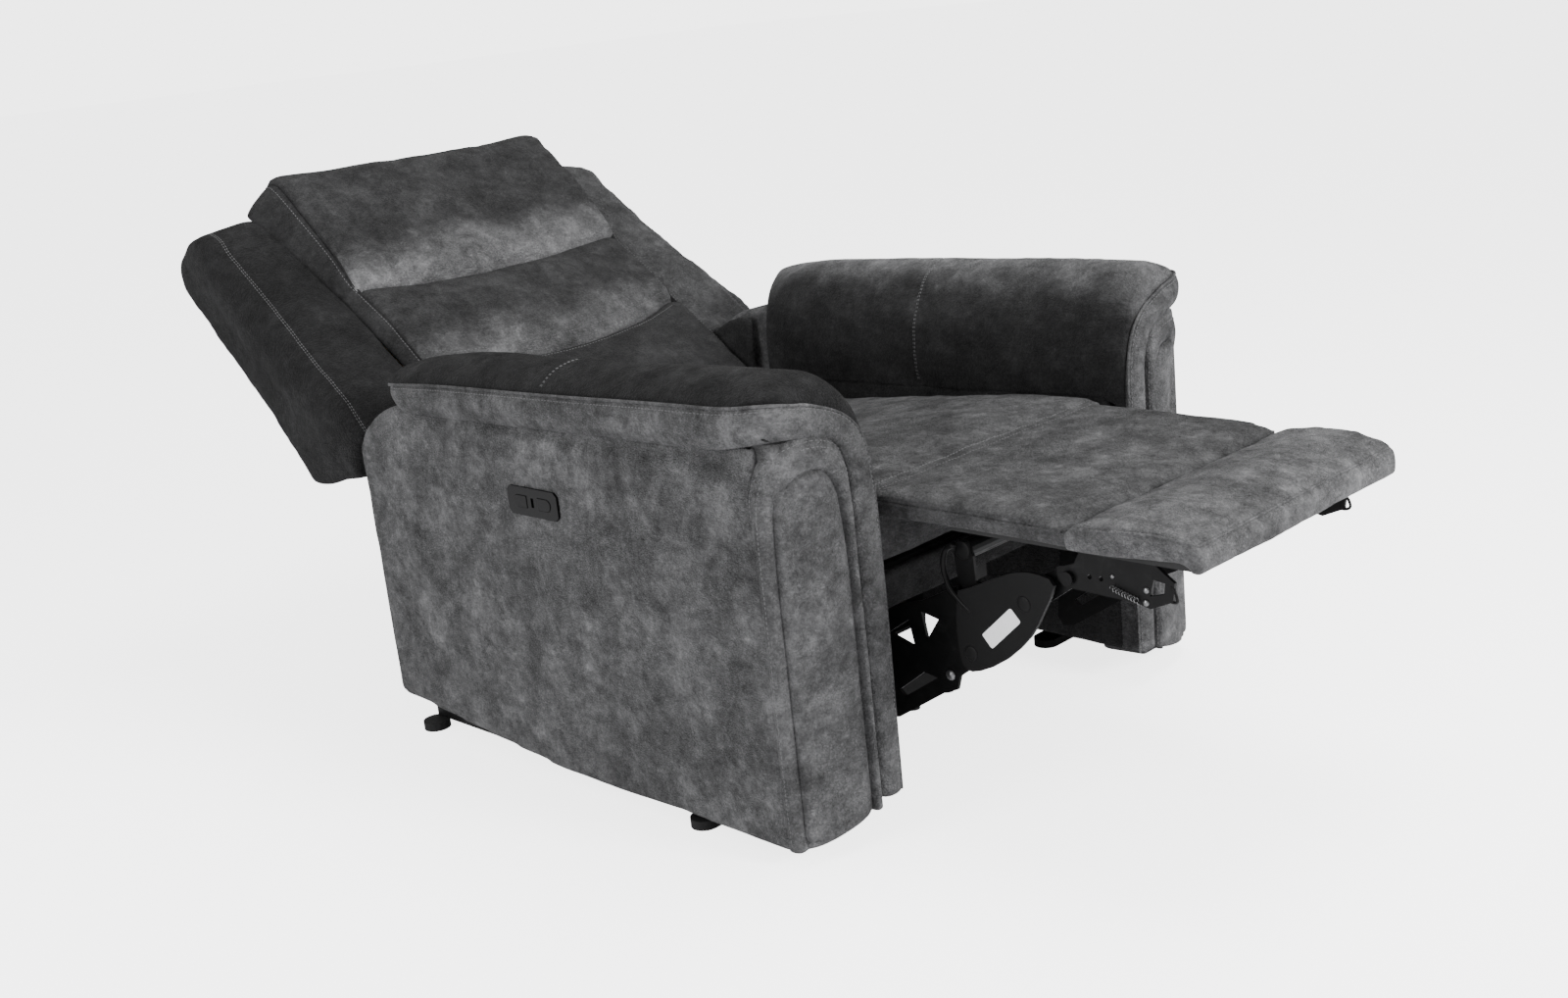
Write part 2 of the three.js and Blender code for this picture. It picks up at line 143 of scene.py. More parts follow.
def set_points(piece, co):
    piece.data.vertices.foreach_set("co", np.asarray(co, np.float32).ravel())
    piece.data.update()


def normals(piece):
    return read(piece.data.vertex_normals, "vector")


def push(piece, height):
    """Moves each point out of the skin by its own height in millimetres."""
    set_points(piece, points(piece) + normals(piece) * (height * MM)[:, None])


def freeze(piece):
    """Turns the piece's modifiers into its mesh."""
    shape = bpy.data.meshes.new_from_object(piece.evaluated_get(bpy.context.evaluated_depsgraph_get()))
    old = piece.data
    piece.modifiers.clear()
    piece.data = shape
    bpy.data.meshes.remove(old)


def modify(piece, kind, **settings):
    modifier = piece.modifiers.new(kind, kind)
    for key, value in settings.items():
        setattr(modifier, key, value)
    freeze(piece)
    return piece


def soften(piece, voxel, passes):
    """One closed skin around all the piece's solids, with its edges rounded."""
    modify(piece, "REMESH", mode="VOXEL", voxel_size=voxel * MM)
    return modify(piece, "SMOOTH", factor=0.5, iterations=passes)


def subdivide(piece):
    return modify(piece, "SUBSURF", levels=1, render_levels=1)


def prism(outline, low, high, place=chair):
    """A closed solid: an outline in the place's last two coordinates, from x = low to x = high."""
    a, b = np.array(outline, float).T
    n = len(a)
    vertices = np.concatenate([place(low, a, b), place(high, a, b)])
    faces = [range(n), range(2 * n - 1, n - 1, -1)]
    faces += [(i, n + i, n + (i + 1) % n, (i + 1) % n) for i in range(n)]
    return vertices, faces


def union(name, *solids):
    vertices, faces = [], []
    for v, f in solids:
        faces += [[i + len(vertices) for i in face] for face in f]
        vertices += list(v)
    return make(name, vertices, faces)


def copy_of(node, name):
    """A new piece with the shape of a CAD solid."""
    piece = new_object(name, frame["nodes"][node].data.copy())
    piece.data.materials.clear()
    return piece


def flow(controls, t):
    """Catmull-Rom curve through the control points, at the parameters t from 0 to the last index."""
    p = np.asarray(controls, float)
    p = np.concatenate([[2 * p[0] - p[1]], p, [2 * p[-1] - p[-2]]])
    i = np.clip(np.floor(t).astype(int), 0, len(controls) - 2)
    f = (t - i)[:, None]
    a, b, c, d = p[i], p[i + 1], p[i + 2], p[i + 3]
    return 0.5 * (2 * b + (c - a) * f + (2 * a - 5 * b + 4 * c - d) * f**2 + (3 * b - a - 3 * c + d) * f**3)


def lengths(line):
    """How far along a polyline each of its points is."""
    return np.concatenate([[0], np.cumsum(np.linalg.norm(np.diff(line, axis=0), axis=1))])


def even(controls, step):
    """Parameters that cut the curve through the control points into equal lengths of about a step."""
    t = np.linspace(0, len(controls) - 1, 60 * len(controls))
    length = lengths(flow(controls, t))
    return np.interp(np.linspace(0, length[-1], max(3, round(length[-1] / step))), length, t)


def curve(controls, step):
    return flow(controls, even(controls, step))


def loft(rings):
    """A closed solid through rings of equally many points, with flat ends."""
    count, size = rings.shape[:2]
    faces = [range(size), range(count * size - 1, (count - 1) * size - 1, -1)]
    for i in range(count - 1):
        for j in range(size):
            k = (j + 1) % size
            faces.append((i * size + j, (i + 1) * size + j, (i + 1) * size + k, i * size + k))
    return rings.reshape(-1, 3), faces


def strip(name, edge_a, edge_b, core, bulge, thick, tuck, across=14, place=chair):
    """A padded strip between two edges, crowned away from the core point and tucked in at the edges."""
    edge_a, edge_b = np.array(edge_a, float), np.array(edge_b, float)
    t = even((edge_a + edge_b) / 2, STEP)
    a, b = flow(edge_a, t), flow(edge_b, t)
    along = np.gradient((a + b) / 2, axis=0)
    out = np.cross(along, b - a)
    out /= np.linalg.norm(out, axis=1)[:, None]
    away = (a + b) / 2 - core
    away[:, 2] = 0
    out *= np.sign((out * away).sum(1))[:, None]
    w = np.linspace(0, 1, across)[None, :, None]
    crown = bulge * (1 - np.abs(2 * w - 1) ** 2.5) - tuck * np.abs(2 * w - 1) ** 8
    flat = a[:, None] + (b - a)[:, None] * w
    outer = flat + out[:, None] * crown
    inner = (flat - out[:, None] * thick)[:, ::-1]
    rings = np.concatenate([outer, inner], 1)
    return subdivide(union(name, loft(place(*np.moveaxis(rings, 2, 0)))))


# ---------- surface shaping ----------
def wave(values, seed):
    """Smooth noise along one number, about -1 to 1."""
    values = np.asarray(values, float)
    picks = np.random.default_rng(seed).uniform(-1, 1, 4096)
    i = np.floor(values).astype(int)
    f = values - i
    f = f * f * (3 - 2 * f)
    return picks[i % 4096] * (1 - f) + picks[(i + 1) % 4096] * f


def lumps(co, size, seed):
    """Smooth noise in space with lumps of about that size in millimetres, about -1 to 1."""
    picks = np.random.default_rng(seed).uniform(-1, 1, (32, 32, 32))
    p = co / (size * MM)
    i = np.floor(p).astype(int)
    f = p - i
    f = f * f * (3 - 2 * f)
    total = 0
    for corner in np.ndindex(2, 2, 2):
        a, b, c = ((i + corner) % 32).T
        total = total + np.where(corner, f, 1 - f).prod(1) * picks[a, b, c]
    return total


def nearest(co, line):
    """For each point: its distance to a polyline, and how far along the polyline that is."""
    a, b = line[:-1], line[1:]
    d = b - a
    start = lengths(line)
    length = np.diff(start)
    best = np.full(len(co), 1e9)
    along = np.zeros(len(co))
    for i in range(len(a)):
        t = np.clip(((co - a[i]) @ d[i]) / max(length[i] ** 2, 1e-12), 0, 1)
        gap = np.linalg.norm(co - (a[i] + t[:, None] * d[i]), axis=1)
        closer = gap < best
        best[closer] = gap[closer]
        along[closer] = start[i] + t[closer] * length[i]
    return best / MM, along / MM


def sew(piece, line, depth, width, pucker, reach, seed):
    """Presses a seam into the fabric along a line, with the small gathers that it pulls in beside it."""
    gap, along = nearest(points(piece), line)
    groove = -depth * np.exp(-((gap / width) ** 2))
    gathers = wave(along / 17 + 0.02 * gap, seed) + 0.6 * wave(along / 8, seed + 1)
    fade = np.exp(-gap / reach) * (1 - np.exp(-((gap / width) ** 2)))
    push(piece, groove + pucker * gathers * fade)


def ruffle(piece, rough, seed):
    """Uneven stuffing: soft lumps of a few sizes, in millimetres of height."""
    co = points(piece)
    layers = enumerate(((95, 1), (42, 0.45), (19, 0.18)))
    push(piece, rough * sum(share * lumps(co, size, seed + i) for i, (size, share) in layers))


# ---------- stuffing by cloth simulation ----------
STUFFED = []
FRAMES = 18
CLOTH = {
    "quality": 5, "mass": 0.3, "tension_stiffness": 12, "compression_stiffness": 12, "shear_stiffness": 4,
    "bending_stiffness": 1.5, "use_pressure": True, "vertex_group_mass": "sewn",
}


def stuff(piece, held, cap, pressure):
    """Registers a piece for inflation: `held` is 1 or more where it is sewn down, `cap` is in millimetres."""
    STUFFED.append((piece, np.clip(held, 0.0, 1.0), cap, pressure))
    return piece


def inflate_all():
    scene = bpy.context.scene
    scene.frame_start, scene.frame_end = 1, FRAMES
    for piece, hold, _, pressure in STUFFED:
        group = piece.vertex_groups.new(name="sewn")
        levels = np.round(hold, 1)
        for level in np.unique(levels[levels > 0]):
            group.add(np.nonzero(levels == level)[0].tolist(), float(level), "REPLACE")
        cloth = piece.modifiers.new("stuffing", "CLOTH")
        for key, value in CLOTH.items():
            setattr(cloth.settings, key, value)
        cloth.settings.uniform_pressure_force = pressure
        cloth.settings.effector_weights.gravity = 0
        cloth.point_cache.frame_start = 1
        cloth.point_cache.frame_end = FRAMES
    for step in range(1, FRAMES + 1):
        scene.frame_set(step)
    graph = bpy.context.evaluated_depsgraph_get()
    for piece, _, cap, _ in STUFFED:
        before = points(piece)
        move = read(piece.evaluated_get(graph).data.vertices, "co") - before
        far = np.linalg.norm(move, axis=1)
        limit = cap * MM
        move *= (limit * np.tanh(far / limit) / np.maximum(far, 1e-9))[:, None]
        piece.modifiers.clear()
        piece.vertex_groups.clear()
        set_points(piece, before + move)
    scene.frame_set(1)


# ---------- materials ----------
class Nodes:
    """A short way to build a material's node tree."""

    def __init__(self, name):
        self.material = bpy.data.materials.new(name)
        self.material.use_nodes = True
        self.tree = self.material.node_tree
        self.shader = self.tree.nodes["Principled BSDF"]
        self.place = self.tree.nodes.new("ShaderNodeTexCoord").outputs["Object"]

    def add(self, kind, inputs=(), **settings):
        node = self.tree.nodes.new("ShaderNode" + kind)
        for key, value in settings.items():
            setattr(node, key, value)
        for key, value in dict(inputs).items():
            self.put(node.inputs[key], value)
        return node

    def put(self, socket, value):
        if isinstance(value, bpy.types.NodeSocket):
            self.tree.links.new(value, socket)
        else:
            socket.default_value = value

    def stretch(self, scale, turn=(0, 0, 0)):
        node = self.add("Mapping", {"Vector": self.place, "Scale": scale, "Rotation": turn})
        return node.outputs["Vector"]

    def noise(self, scale, detail=3.0, rough=0.55, warp=0.0, at=None):
        inputs = {"Vector": at or self.place, "Scale": scale, "Detail": detail}
        return self.add("TexNoise", {**inputs, "Roughness": rough, "Distortion": warp}).outputs["Fac"]

    def cells(self, scale, at):
        """Distance from the edges of a pattern of cells."""
        node = self.add("TexVoronoi", {"Vector": at, "Scale": scale}, feature="DISTANCE_TO_EDGE")
        return node.outputs["Distance"]

    def bands(self, scale, warp, way="X"):
        inputs = {"Vector": self.place, "Scale": scale, "Distortion": warp}
        return self.add("TexWave", inputs, bands_direction=way).outputs["Fac"]

    def fit(self, value, low, high, to_low, to_high):
        inputs = {"Value": value, "From Min": low, "From Max": high, "To Min": to_low, "To Max": to_high}
        return self.add("MapRange", inputs).outputs["Result"]

    def vary(self, noise, low, high):
        """The range that a noise really covers, spread from low to high."""
        return self.fit(noise, 0.3, 0.7, low, high)

    def math(self, operation, a, b):
        return self.add("Math", {0: a, 1: b}, operation=operation).outputs[0]

    def times(self, first, *others):
        for other in others:
            first = self.math("MULTIPLY", first, other)
        return first

    def bump(self, height, distance, strength, under=None):
        inputs = {"Height": height, "Distance": distance, "Strength": strength}
        if under is not None:
            inputs["Normal"] = under
        return self.add("Bump", inputs).outputs["Normal"]

    def finish(self, tone, factor, rough, normal=None, **uniform):
        """The material: its colour is the tone times a factor that varies over the surface."""
        colour = self.add("VectorMath", {0: tone, "Scale": factor}, operation="SCALE").outputs[0]
        self.put(self.shader.inputs["Base Color"], colour)
        self.put(self.shader.inputs["Roughness"], rough)
        if normal is not None:
            self.put(self.shader.inputs["Normal"], normal)
        for key, value in uniform.items():
            self.shader.inputs[key.replace("_", " ")].default_value = value
        return self.material


def suede(name, tone, contrast=1.0, light=None):
    """Brushed microfibre with a leather-like print: nap patches, streaks, fine creased grain.

    `light` is (heading, low, high, gain): a painted highlight, the colour up to gain times lighter towards
    `low` on the heading.
    """
    m = Nodes(name)
    broad = m.fit(m.noise(5.5, 6.0, 0.66, 0.25), 0.34, 0.66, 1 - 0.14 * contrast, 1 + 0.15 * contrast)
    cloudy = m.fit(m.noise(19, 8.0, 0.76, 0.3), 0.34, 0.66, 1 - 0.26 * contrast, 1 + 0.28 * contrast)
    fine = m.fit(m.noise(52, 7.0, 0.75, 0.3), 0.34, 0.66, 1 - 0.22 * contrast, 1 + 0.24 * contrast)
    brushed = m.stretch((1.0, 0.4, 1.6), (0.5, 0.2, 0.7))
    streaks = m.fit(m.noise(60, 8.0, 0.8, 0.2, brushed), 0.32, 0.68, 0.82, 1.2)
    wrinkles = m.noise(95, 6.0, 0.82, 1.0, m.stretch((1, 1, 1.3)))
    creases = m.fit(m.cells(170, m.stretch((1, 1, 1.35))), 0.0, 0.2, 0.0, 1.0)
    print_mask = m.fit(m.noise(11, 6.0, 0.7, 0.2), 0.38, 0.66, 0.15, 1.0)
    grain = m.times(m.math("SUBTRACT", 1.0, creases), print_mask)
    fleck = m.fit(grain, 0.0, 1.0, 1.02, 0.82)
    nap = m.vary(m.noise(260, 6.0, 0.85), 0.6, 1.45)
    factor = m.times(broad, cloudy, streaks, fleck, fine, nap)
    # Painted highlight: the colour is made lighter towards `low` along the heading, standing in for light
    # falling there.
    if light:
        heading, low, high, gain = light
        along = m.add("VectorMath", {0: m.place, 1: heading}, operation="DOT_PRODUCT").outputs["Value"]
        uneven = m.math("ADD", along, m.vary(m.noise(9, 3.0), -0.02, 0.02))
        factor = m.times(factor, m.fit(uneven, low, high, gain, 1.0))
    rough = m.vary(m.noise(30, 3.0), 0.78, 0.95)
    soft = m.bump(m.noise(34, 6.0, 0.66, 0.3), 0.004, 0.6)
    relief = m.math("ADD", creases, m.fit(wrinkles, 0.35, 0.65, 0.0, 1.4))
    leather = m.bump(m.times(relief, print_mask), 0.0028, 1.0, soft)
    fuzz = m.bump(m.noise(1500, 2.0), 0.0004, 0.6, leather)
    uniform = {"Sheen_Weight": 0.03, "Sheen_Roughness": 0.4, "Specular_IOR_Level": 0.07}
    return m.finish(tone, factor, rough, fuzz, **uniform)


def grey(value):
    return (value, value, value * 1.02)


def back_suede_with_painted_highlight(name, low, gain):
    """A darker copy of the suede for the back (painted shade), with a painted highlight band just above a
    seam, at that height up the back in millimetres.
    """
    heading = (0, math.cos(BACK_TILT), math.sin(BACK_TILT))
    foot = ((PIVOT_Y + SEAM_Y) * heading[1] + PIVOT_Z * heading[2] + low) * MM
    return suede(name, grey(0.031), 1.2, (heading, foot, foot + 0.095, gain))


SUEDE = suede("suede", grey(0.079), 1.4)
# Darker copy of the suede for the seat, calf pad and its piping: painted shade.
SUEDE_SEAT_SHADED = suede("suede_seat_painted_shade", grey(0.066), 1.3)
# Lighter copy of the suede for the foot pad and its piping: painted light.
SUEDE_FOOT_LIT = suede("suede_foot_painted_light", grey(0.1), 1.3)
# Darker copy for the lumbar cushion, inner arm panels, seat front panel and the back's side bands and piping:
# painted shade.
SUEDE_MID_SHADED = suede("suede_painted_mid_shade", grey(0.023))
# Much darker copy for the right pad and the right wing: painted shadow.
SUEDE_SHADOWED = suede("suede_painted_shadow", grey(0.0135), 1.1)
# Copy for the left wing, lighter than the right wing's: painted light.
SUEDE_LIT_WING = suede("suede_wing_painted_light", grey(0.052))
# Copy for the left pad: dark tone (painted shade) with a painted highlight towards its outer side.
SUEDE_PAD_SHADE_AND_HIGHLIGHT = suede("suede_pad_painted_shade_and_highlight", grey(0.022), 1.1, ((-1, 0, 0), -0.4, -0.31, 5.4))
# Pillow and middle cushion copies: darker tone (painted shade), lighter towards the lower edge of each
# (painted highlight).
SUEDE_PILLOW_SHADE_AND_HIGHLIGHT = back_suede_with_painted_highlight("suede_pillow_painted_shade_and_highlight", 450, 4.6)
SUEDE_MIDDLE_SHADE_AND_HIGHLIGHT = back_suede_with_painted_highlight("suede_middle_painted_shade_and_highlight", 232, 3.6)


def thread_material():
    m = Nodes("topstitch_thread")
    twist = m.bands(700, 2)
    shade = m.fit(twist, 0, 1, 0.75, 1.15)
    rough = m.fit(twist, 0, 1, 0.5, 0.75)
    return m.finish(grey(0.13), shade, rough, m.bump(twist, 0.0003, 0.6), Specular_IOR_Level=0.15)


def painted_steel():
    m = Nodes("black_enamelled_steel")
    peel = m.noise(260, 3.0)
    wear = m.fit(m.noise(40, 6.0, 0.7, 1.0), 0.55, 0.75, 1.0, 2.2)
    dust = m.vary(m.noise(9, 4.0), 0.85, 1.2)
    shade = m.times(wear, dust)
    rough = m.vary(m.noise(60, 5.0), 0.3, 0.5)
    return m.finish(grey(0.004), shade, rough, m.bump(peel, 0.0003, 0.4), Specular_IOR_Level=0.1)


def bare_steel():
    m = Nodes("zinc_plated_steel")
    brushed = m.noise(300, 4.0, 0.6, 0.0, m.stretch((1, 1, 12)))
    rough, normal = m.vary(brushed, 0.25, 0.42), m.bump(brushed, 0.0002, 0.4)
    return m.finish(grey(0.16), m.vary(brushed, 0.8, 1.15), rough, normal, Metallic=0.9)


def moulded_plastic(name, tone, low, high):
    m = Nodes(name)
    texture = m.noise(700, 3.0, 0.6)
    sink = m.noise(16, 3.0)
    shade = m.vary(sink, 0.88, 1.12)
    normal = m.bump(texture, 0.00022, 0.5, m.bump(sink, 0.0008, 0.25))
    return m.finish(grey(tone), shade, m.vary(texture, low, high), normal, Specular_IOR_Level=0.1)


def gloss_plastic():
    m = Nodes("gloss_black_plastic")
    smear = m.noise(55, 5.0, 0.6, 1.0)
    shade = m.vary(m.noise(12, 2.0), 0.85, 1.2)
    normal = m.bump(m.noise(25, 2.0), 0.0004, 0.2)
    uniform = {"Coat_Weight": 0.12, "Coat_Roughness": 0.06, "Specular_IOR_Level": 0.06}
    return m.finish(grey(0.003), shade, m.vary(smear, 0.1, 0.24), normal, **uniform)


def rubber_material():
    m = Nodes("foot_rubber")
    scuff = m.noise(90, 5.0, 0.7)
    shade = m.fit(scuff, 0.35, 0.75, 0.8, 1.7)
    normal = m.bump(m.noise(500, 2.0), 0.0004, 0.5)
    return m.finish(grey(0.009), shade, m.vary(scuff, 0.6, 0.85), normal, Specular_IOR_Level=0.16)


def plywood():
    m = Nodes("plywood")
    rings = m.noise(24, 5.0, 0.6, 1.4, m.stretch((1, 0.12, 1)))
    shade = m.times(m.vary(rings, 0.75, 1.15), m.fit(m.bands(180, 0.8, "Z"), 0, 1, 0.85, 1.05))
    return m.finish((0.46, 0.3, 0.16), shade, m.vary(rings, 0.6, 0.8), m.bump(rings, 0.0005, 0.4))


def lining_cloth():
    m = Nodes("black_lining_cloth")
    weave = m.times(m.bands(260, 0.3, "X"), m.bands(260, 0.3, "Y"))
    shade = m.times(m.fit(weave, 0, 1, 0.7, 1.3), m.vary(m.noise(12, 4), 0.8, 1.2))
    return m.finish(grey(0.014), shade, m.fit(weave, 0, 1, 0.95, 0.8), m.bump(weave, 0.0004, 0.6))


def paper_label():
    m = Nodes("blank_label")
    fibre = m.noise(420, 4.0)
    shade = m.vary(fibre, 0.94, 1.03)
    return m.finish(grey(0.72), shade, m.vary(fibre, 0.4, 0.55), m.bump(fibre, 0.0001, 0.3))


THREAD = thread_material()
STEEL = painted_steel()
ZINC = bare_steel()
PLASTIC = moulded_plastic("moulded_black_plastic", 0.006, 0.42, 0.6)
BUTTON = moulded_plastic("button_plastic", 0.005, 0.3, 0.42)
GLOSS = gloss_plastic()
RUBBER = rubber_material()
PLYWOOD = plywood()
LINING = lining_cloth()
LABEL = paper_label()
FOLD = "fold"  # in place of a body: fabric where the legrest folds down from the seat, left attached to no body


def dress(piece, material, body):
    """The finish of a piece, and the body that it rides on."""
    piece.data.materials.clear()
    piece.data.materials.append(material)
    piece.data.polygons.foreach_set("use_smooth", [True] * len(piece.data.polygons))
    if body != FOLD:
        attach(piece, body)
        return
    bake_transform(piece)


def upholster(piece, material, body, node=None):
    """Fabric on a piece, its body, and the CAD solid that it stands for."""
    dress(piece, material, body)
    if node:
        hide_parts(node)


# ---------- stitching ----------
STITCH = 4.6  # visible length of a stitch
PITCH = 6.6
THREAD_W = 1.2
THREAD_H = 0.7
THREAD_LIFT = 0.1  # height of the thread's middle above the fabric
THREAD_SINK = -0.5  # and of its ends


def stitches(name, target, lines, body, gap=0.0):
    """Rows of thread along lines, laid on the target's skin. A gap makes each line a double row."""
    tree = BVHTree.FromObject(target, bpy.context.evaluated_depsgraph_get())
    solids = []
    for line in lines:
        length = lengths(line)
        stops = np.arange(PITCH / 2, length[-1] / MM - STITCH, PITCH) * MM
        starts, ends = (
            np.stack([np.interp(stops + reach * MM, length, line[:, k]) for k in range(3)], 1)
            for reach in (0, STITCH)
        )
        for a, b in zip(starts, ends):
            for row in ((-gap / 2, gap / 2) if gap else (0,)):
                solids.append(stitch(tree, Vector(a), Vector(b), row))
    upholster(union(name, *solids), THREAD, body)


def stitch(tree, a, b, row):
    """One stitch beside the line from a to b, with its ends sunk into the fabric."""
    side = tree.find_nearest((a + b) / 2)[1].cross(b - a).normalized() * row * MM
    rings = []
    for p, swell in ((a, 0.3), (a.lerp(b, 0.2), 1.0), (a.lerp(b, 0.8), 1.0), (b, 0.3)):
        foot, normal, _, _ = tree.find_nearest(p + side)
        half = normal.cross(b - a).normalized() * THREAD_W / 2 * MM
        rise = normal * THREAD_H * MM * swell
        foot = foot + normal * (THREAD_LIFT if swell == 1 else THREAD_SINK) * MM
        rings.append([tuple(v) for v in (foot - half, foot + rise, foot + half, foot - rise * 0.6)])
    return loft(np.array(rings))


def on_skin(target, line, lift=0.0):
    """The line laid on the target's skin."""
    tree = BVHTree.FromObject(target, bpy.context.evaluated_depsgraph_get())
    hits = [tree.find_nearest(Vector(p)) for p in line]
    return np.array([tuple(foot + normal * lift * MM) for foot, normal, _, _ in hits])


def row_on(piece, half, y, z, place=chair, count=60):
    """A line across the piece's skin."""
    return on_skin(piece, place(np.linspace(-half, half, count), y, z))


def tube(name, line, radius, sides=8):
    """A round cord of fabric or wire along a line, closed at its ends."""
    line = np.asarray(line, float)
    along = np.gradient(line, axis=0)
    along /= np.maximum(np.linalg.norm(along, axis=1), 1e-12)[:, None]
    up = np.array([0.31, 0.22, 0.93])
    first = np.cross(along, up)
    first /= np.linalg.norm(first, axis=1)[:, None]
    second = np.cross(along, first)
    turn = np.linspace(0, 2 * math.pi, sides, endpoint=False)
    c, s = np.cos(turn)[:, None], np.sin(turn)[:, None]
    return union(name, loft(line[:, None] + radius * MM * (c * first[:, None] + s * second[:, None])))


# ---------- arms ----------
PAD_FALL = -0.03  # the arm tops fall this much for each millimetre towards the back
PAD_MID_Y = 384
PAD_RINGS = 125
SHOULDER_R = 166
SWITCH_Y, SWITCH_Z = 459, 442  # middle of the control plate on the right arm
CLOSED_Y = 712  # behind this the arm's cover is closed on its inner side too
ARM_MIDDLE = 370
PIPING_R = 2.3

# The pad's skin from the outer piping over the crest and down the inner side, halfway along.
PAD_SECTION = [
    (465, 605), (461, 612), (452, 620), (436, 629), (415, 635), (388, 638), (345, 632), (316, 614),
    (299, 589), (290, 555), (285, 510), (284, 480), (284, 445),
]
# Where the same skin ends at the front and at the back, one point for each of those above.
PAD_FRONT = [
    (465, 60, 617), (464, 20, 620), (457, -10, 623), (440, -27, 622), (415, -34, 617), (387, -36, 611),
    (340, -37, 592), (313, -38, 571), (298, -38, 547), (289, -38, 510), (286, -38, 470), (285, -38, 440),
    (284, -38, 410),
]
PAD_BACK = [
    (462, 783, 588), (458, 787, 592), (450, 790, 597), (437, 792, 602), (415, 792, 604), (390, 790, 602),
    (350, 772, 582), (325, 758, 560), (308, 747, 538), (295, 739, 512), (288, 734, 490), (285, 731, 472),
    (284, 730, 450),
]
PAD_UNDERSIDE = [
    (296, 445), (299, 500), (302, 545), (312, 563), (350, 564), (400, 564), (450, 564), (455, 580),
]
PAD_BASE = (-22, 742)  # where the underside starts and ends
PAD_ROLL_FRONT, PAD_ROLL_BACK = 58, 165  # over these lengths the skin rolls down to its two ends
# Boxing strip: its upper edge runs along the pad's front seam and piping, its lower edge beside it.
BOXING_TOP = [
    (284, -36, 54), (284, -37, 180), (284, -38, 300), (285, -38, 410), *PAD_FRONT[10::-1],
    (465, 160, 614), (465, 400, 604.5), (464, 640, 597), PAD_BACK[0],
]
BOXING_LOW = [
    (324, -36, 54), (325, -37, 180), (326, -38, 300), (327, -38, 400), (328, -38, 455), (329, -38, 490),
    (333, -38, 518), (341, -38, 540), (356, -38, 558), (387, -38, 568), (415, -31, 573), (438, -19, 573),
    (453, 2, 570), (460, 34, 565), (463, 70, 561), (463, 170, 558), (463, 400, 553), (462, 620, 547),
    (460, 752, 544),
]
# Padded border round the arm's front: outer edge, and the edge of the raised insert.
BORDER_OUTER = [
    (456, 16, 20), (456, 17, 160), (456, 17, 320), (457, 17, 450), (457, 16, 508), (451, 5, 546),
    (433, -11, 568), (400, -33, 580), (362, -35, 570), (340, -36, 544), (334, -37, 507), (332, -38, 440),
    (331, -37, 320), (329, -37, 180), (327, -36, 46),
]
BORDER_INNER = [
    (444, -9, 18), (444, -9, 160), (444, -9, 320), (443, -10, 430), (441, -13, 480), (434, -22, 508),
    (420, -32, 522), (398, -38, 527), (374, -38, 520), (359, -38, 502), (350, -38, 475), (346, -38, 420),
    (344, -38, 320), (342, -37, 180), (341, -36, 42),
]
SPLIT = 7  # the border's control point at the top of its arch


def mirrored(line, s):
    return np.array(line, float) * (s, 1, 1)


def laid_out(line, s=1, place=chair):
    """A line of points drawn for one side, in the frame."""
    return place(*mirrored(line, s).T)


def arm_outline(low):
    """Side view of an arm: hem that dips to the front, straight rear, shoulder round the back's pivot."""
    hem = [(ARM_FRONT, 18), (225, 21), (348, 16), (485, 17), (621, 30), (747, 43), (ARM_REAR, 57)]
    hem = [(y, z + low - ARM_HEM) for y, z in hem]
    radius = SHOULDER_R + 3
    start = math.acos((ARM_REAR - PIVOT_Y) / radius)
    end = math.acos((752 - PIVOT_Y) / radius)
    turn = np.linspace(start, end, 16)
    shoulder = [(PIVOT_Y + radius * math.cos(a), PIVOT_Z + radius * math.sin(a)) for a in turn]
    return hem + shoulder + [(740, 551), (400, 562), (ARM_FRONT, 572)]


def arm_cover(side, s):
    body = prism(arm_outline(ARM_BODY_LOW), s * ARM_INSIDE, s * ARM_OUTSIDE)
    skirt = prism(arm_outline(ARM_HEM), s * ARM_SKIRT, s * ARM_OUTSIDE)
    piece = soften(union(f"arm_side_cover_soft_{side}", body, skirt), 7, 10)
    subdivide(piece)
    co = points(piece)
    x, y, z = chair_mm(co)
    x = abs(x)
    outer = ramp(x, 430, 452)
    # The side is drawn tight over its board: a slight crown, a rounded rear corner, dents near the pad.
    crown = 4.5 * ramp(y, 14, 140) * ramp(898 - y, 0, 160) * ramp(z, 20, 120) * ramp(560 - z, 0, 90)
    dents = 1.6 * lumps(co * (1, 1, 0.7), 120, 5) + 0.8 * lumps(co, 50, 6) + 0.35 * lumps(co, 22, 7)
    under_pad = np.exp(-((545 - z) / 60) ** 2) * wave(y / 34, 8) * 1.8
    dimple = -3.0 * np.exp(-(((y - SWITCH_Y) / 70) ** 2 + ((z - SWITCH_Z) / 34) ** 2))
    tucked = -7 * ramp(z, 526, 548) * ramp(y, 0, 30) * ramp(745 - y, 0, 30)
    swell = (crown * 0.6 + dents + under_pad + dimple + tucked) * outer
    co[:, 0] += s * np.clip(swell, -9, 6) * MM
    rear = ramp(y, 884, 896) * (1 - outer)
    co[:, 1] += (1.5 * lumps(co, 90, 9) - 1.5) * rear * MM
    set_points(piece, co)
    open_inside(piece, s)
    upholster(piece, SUEDE, "chassis", f"arm_side_cover_{side}")


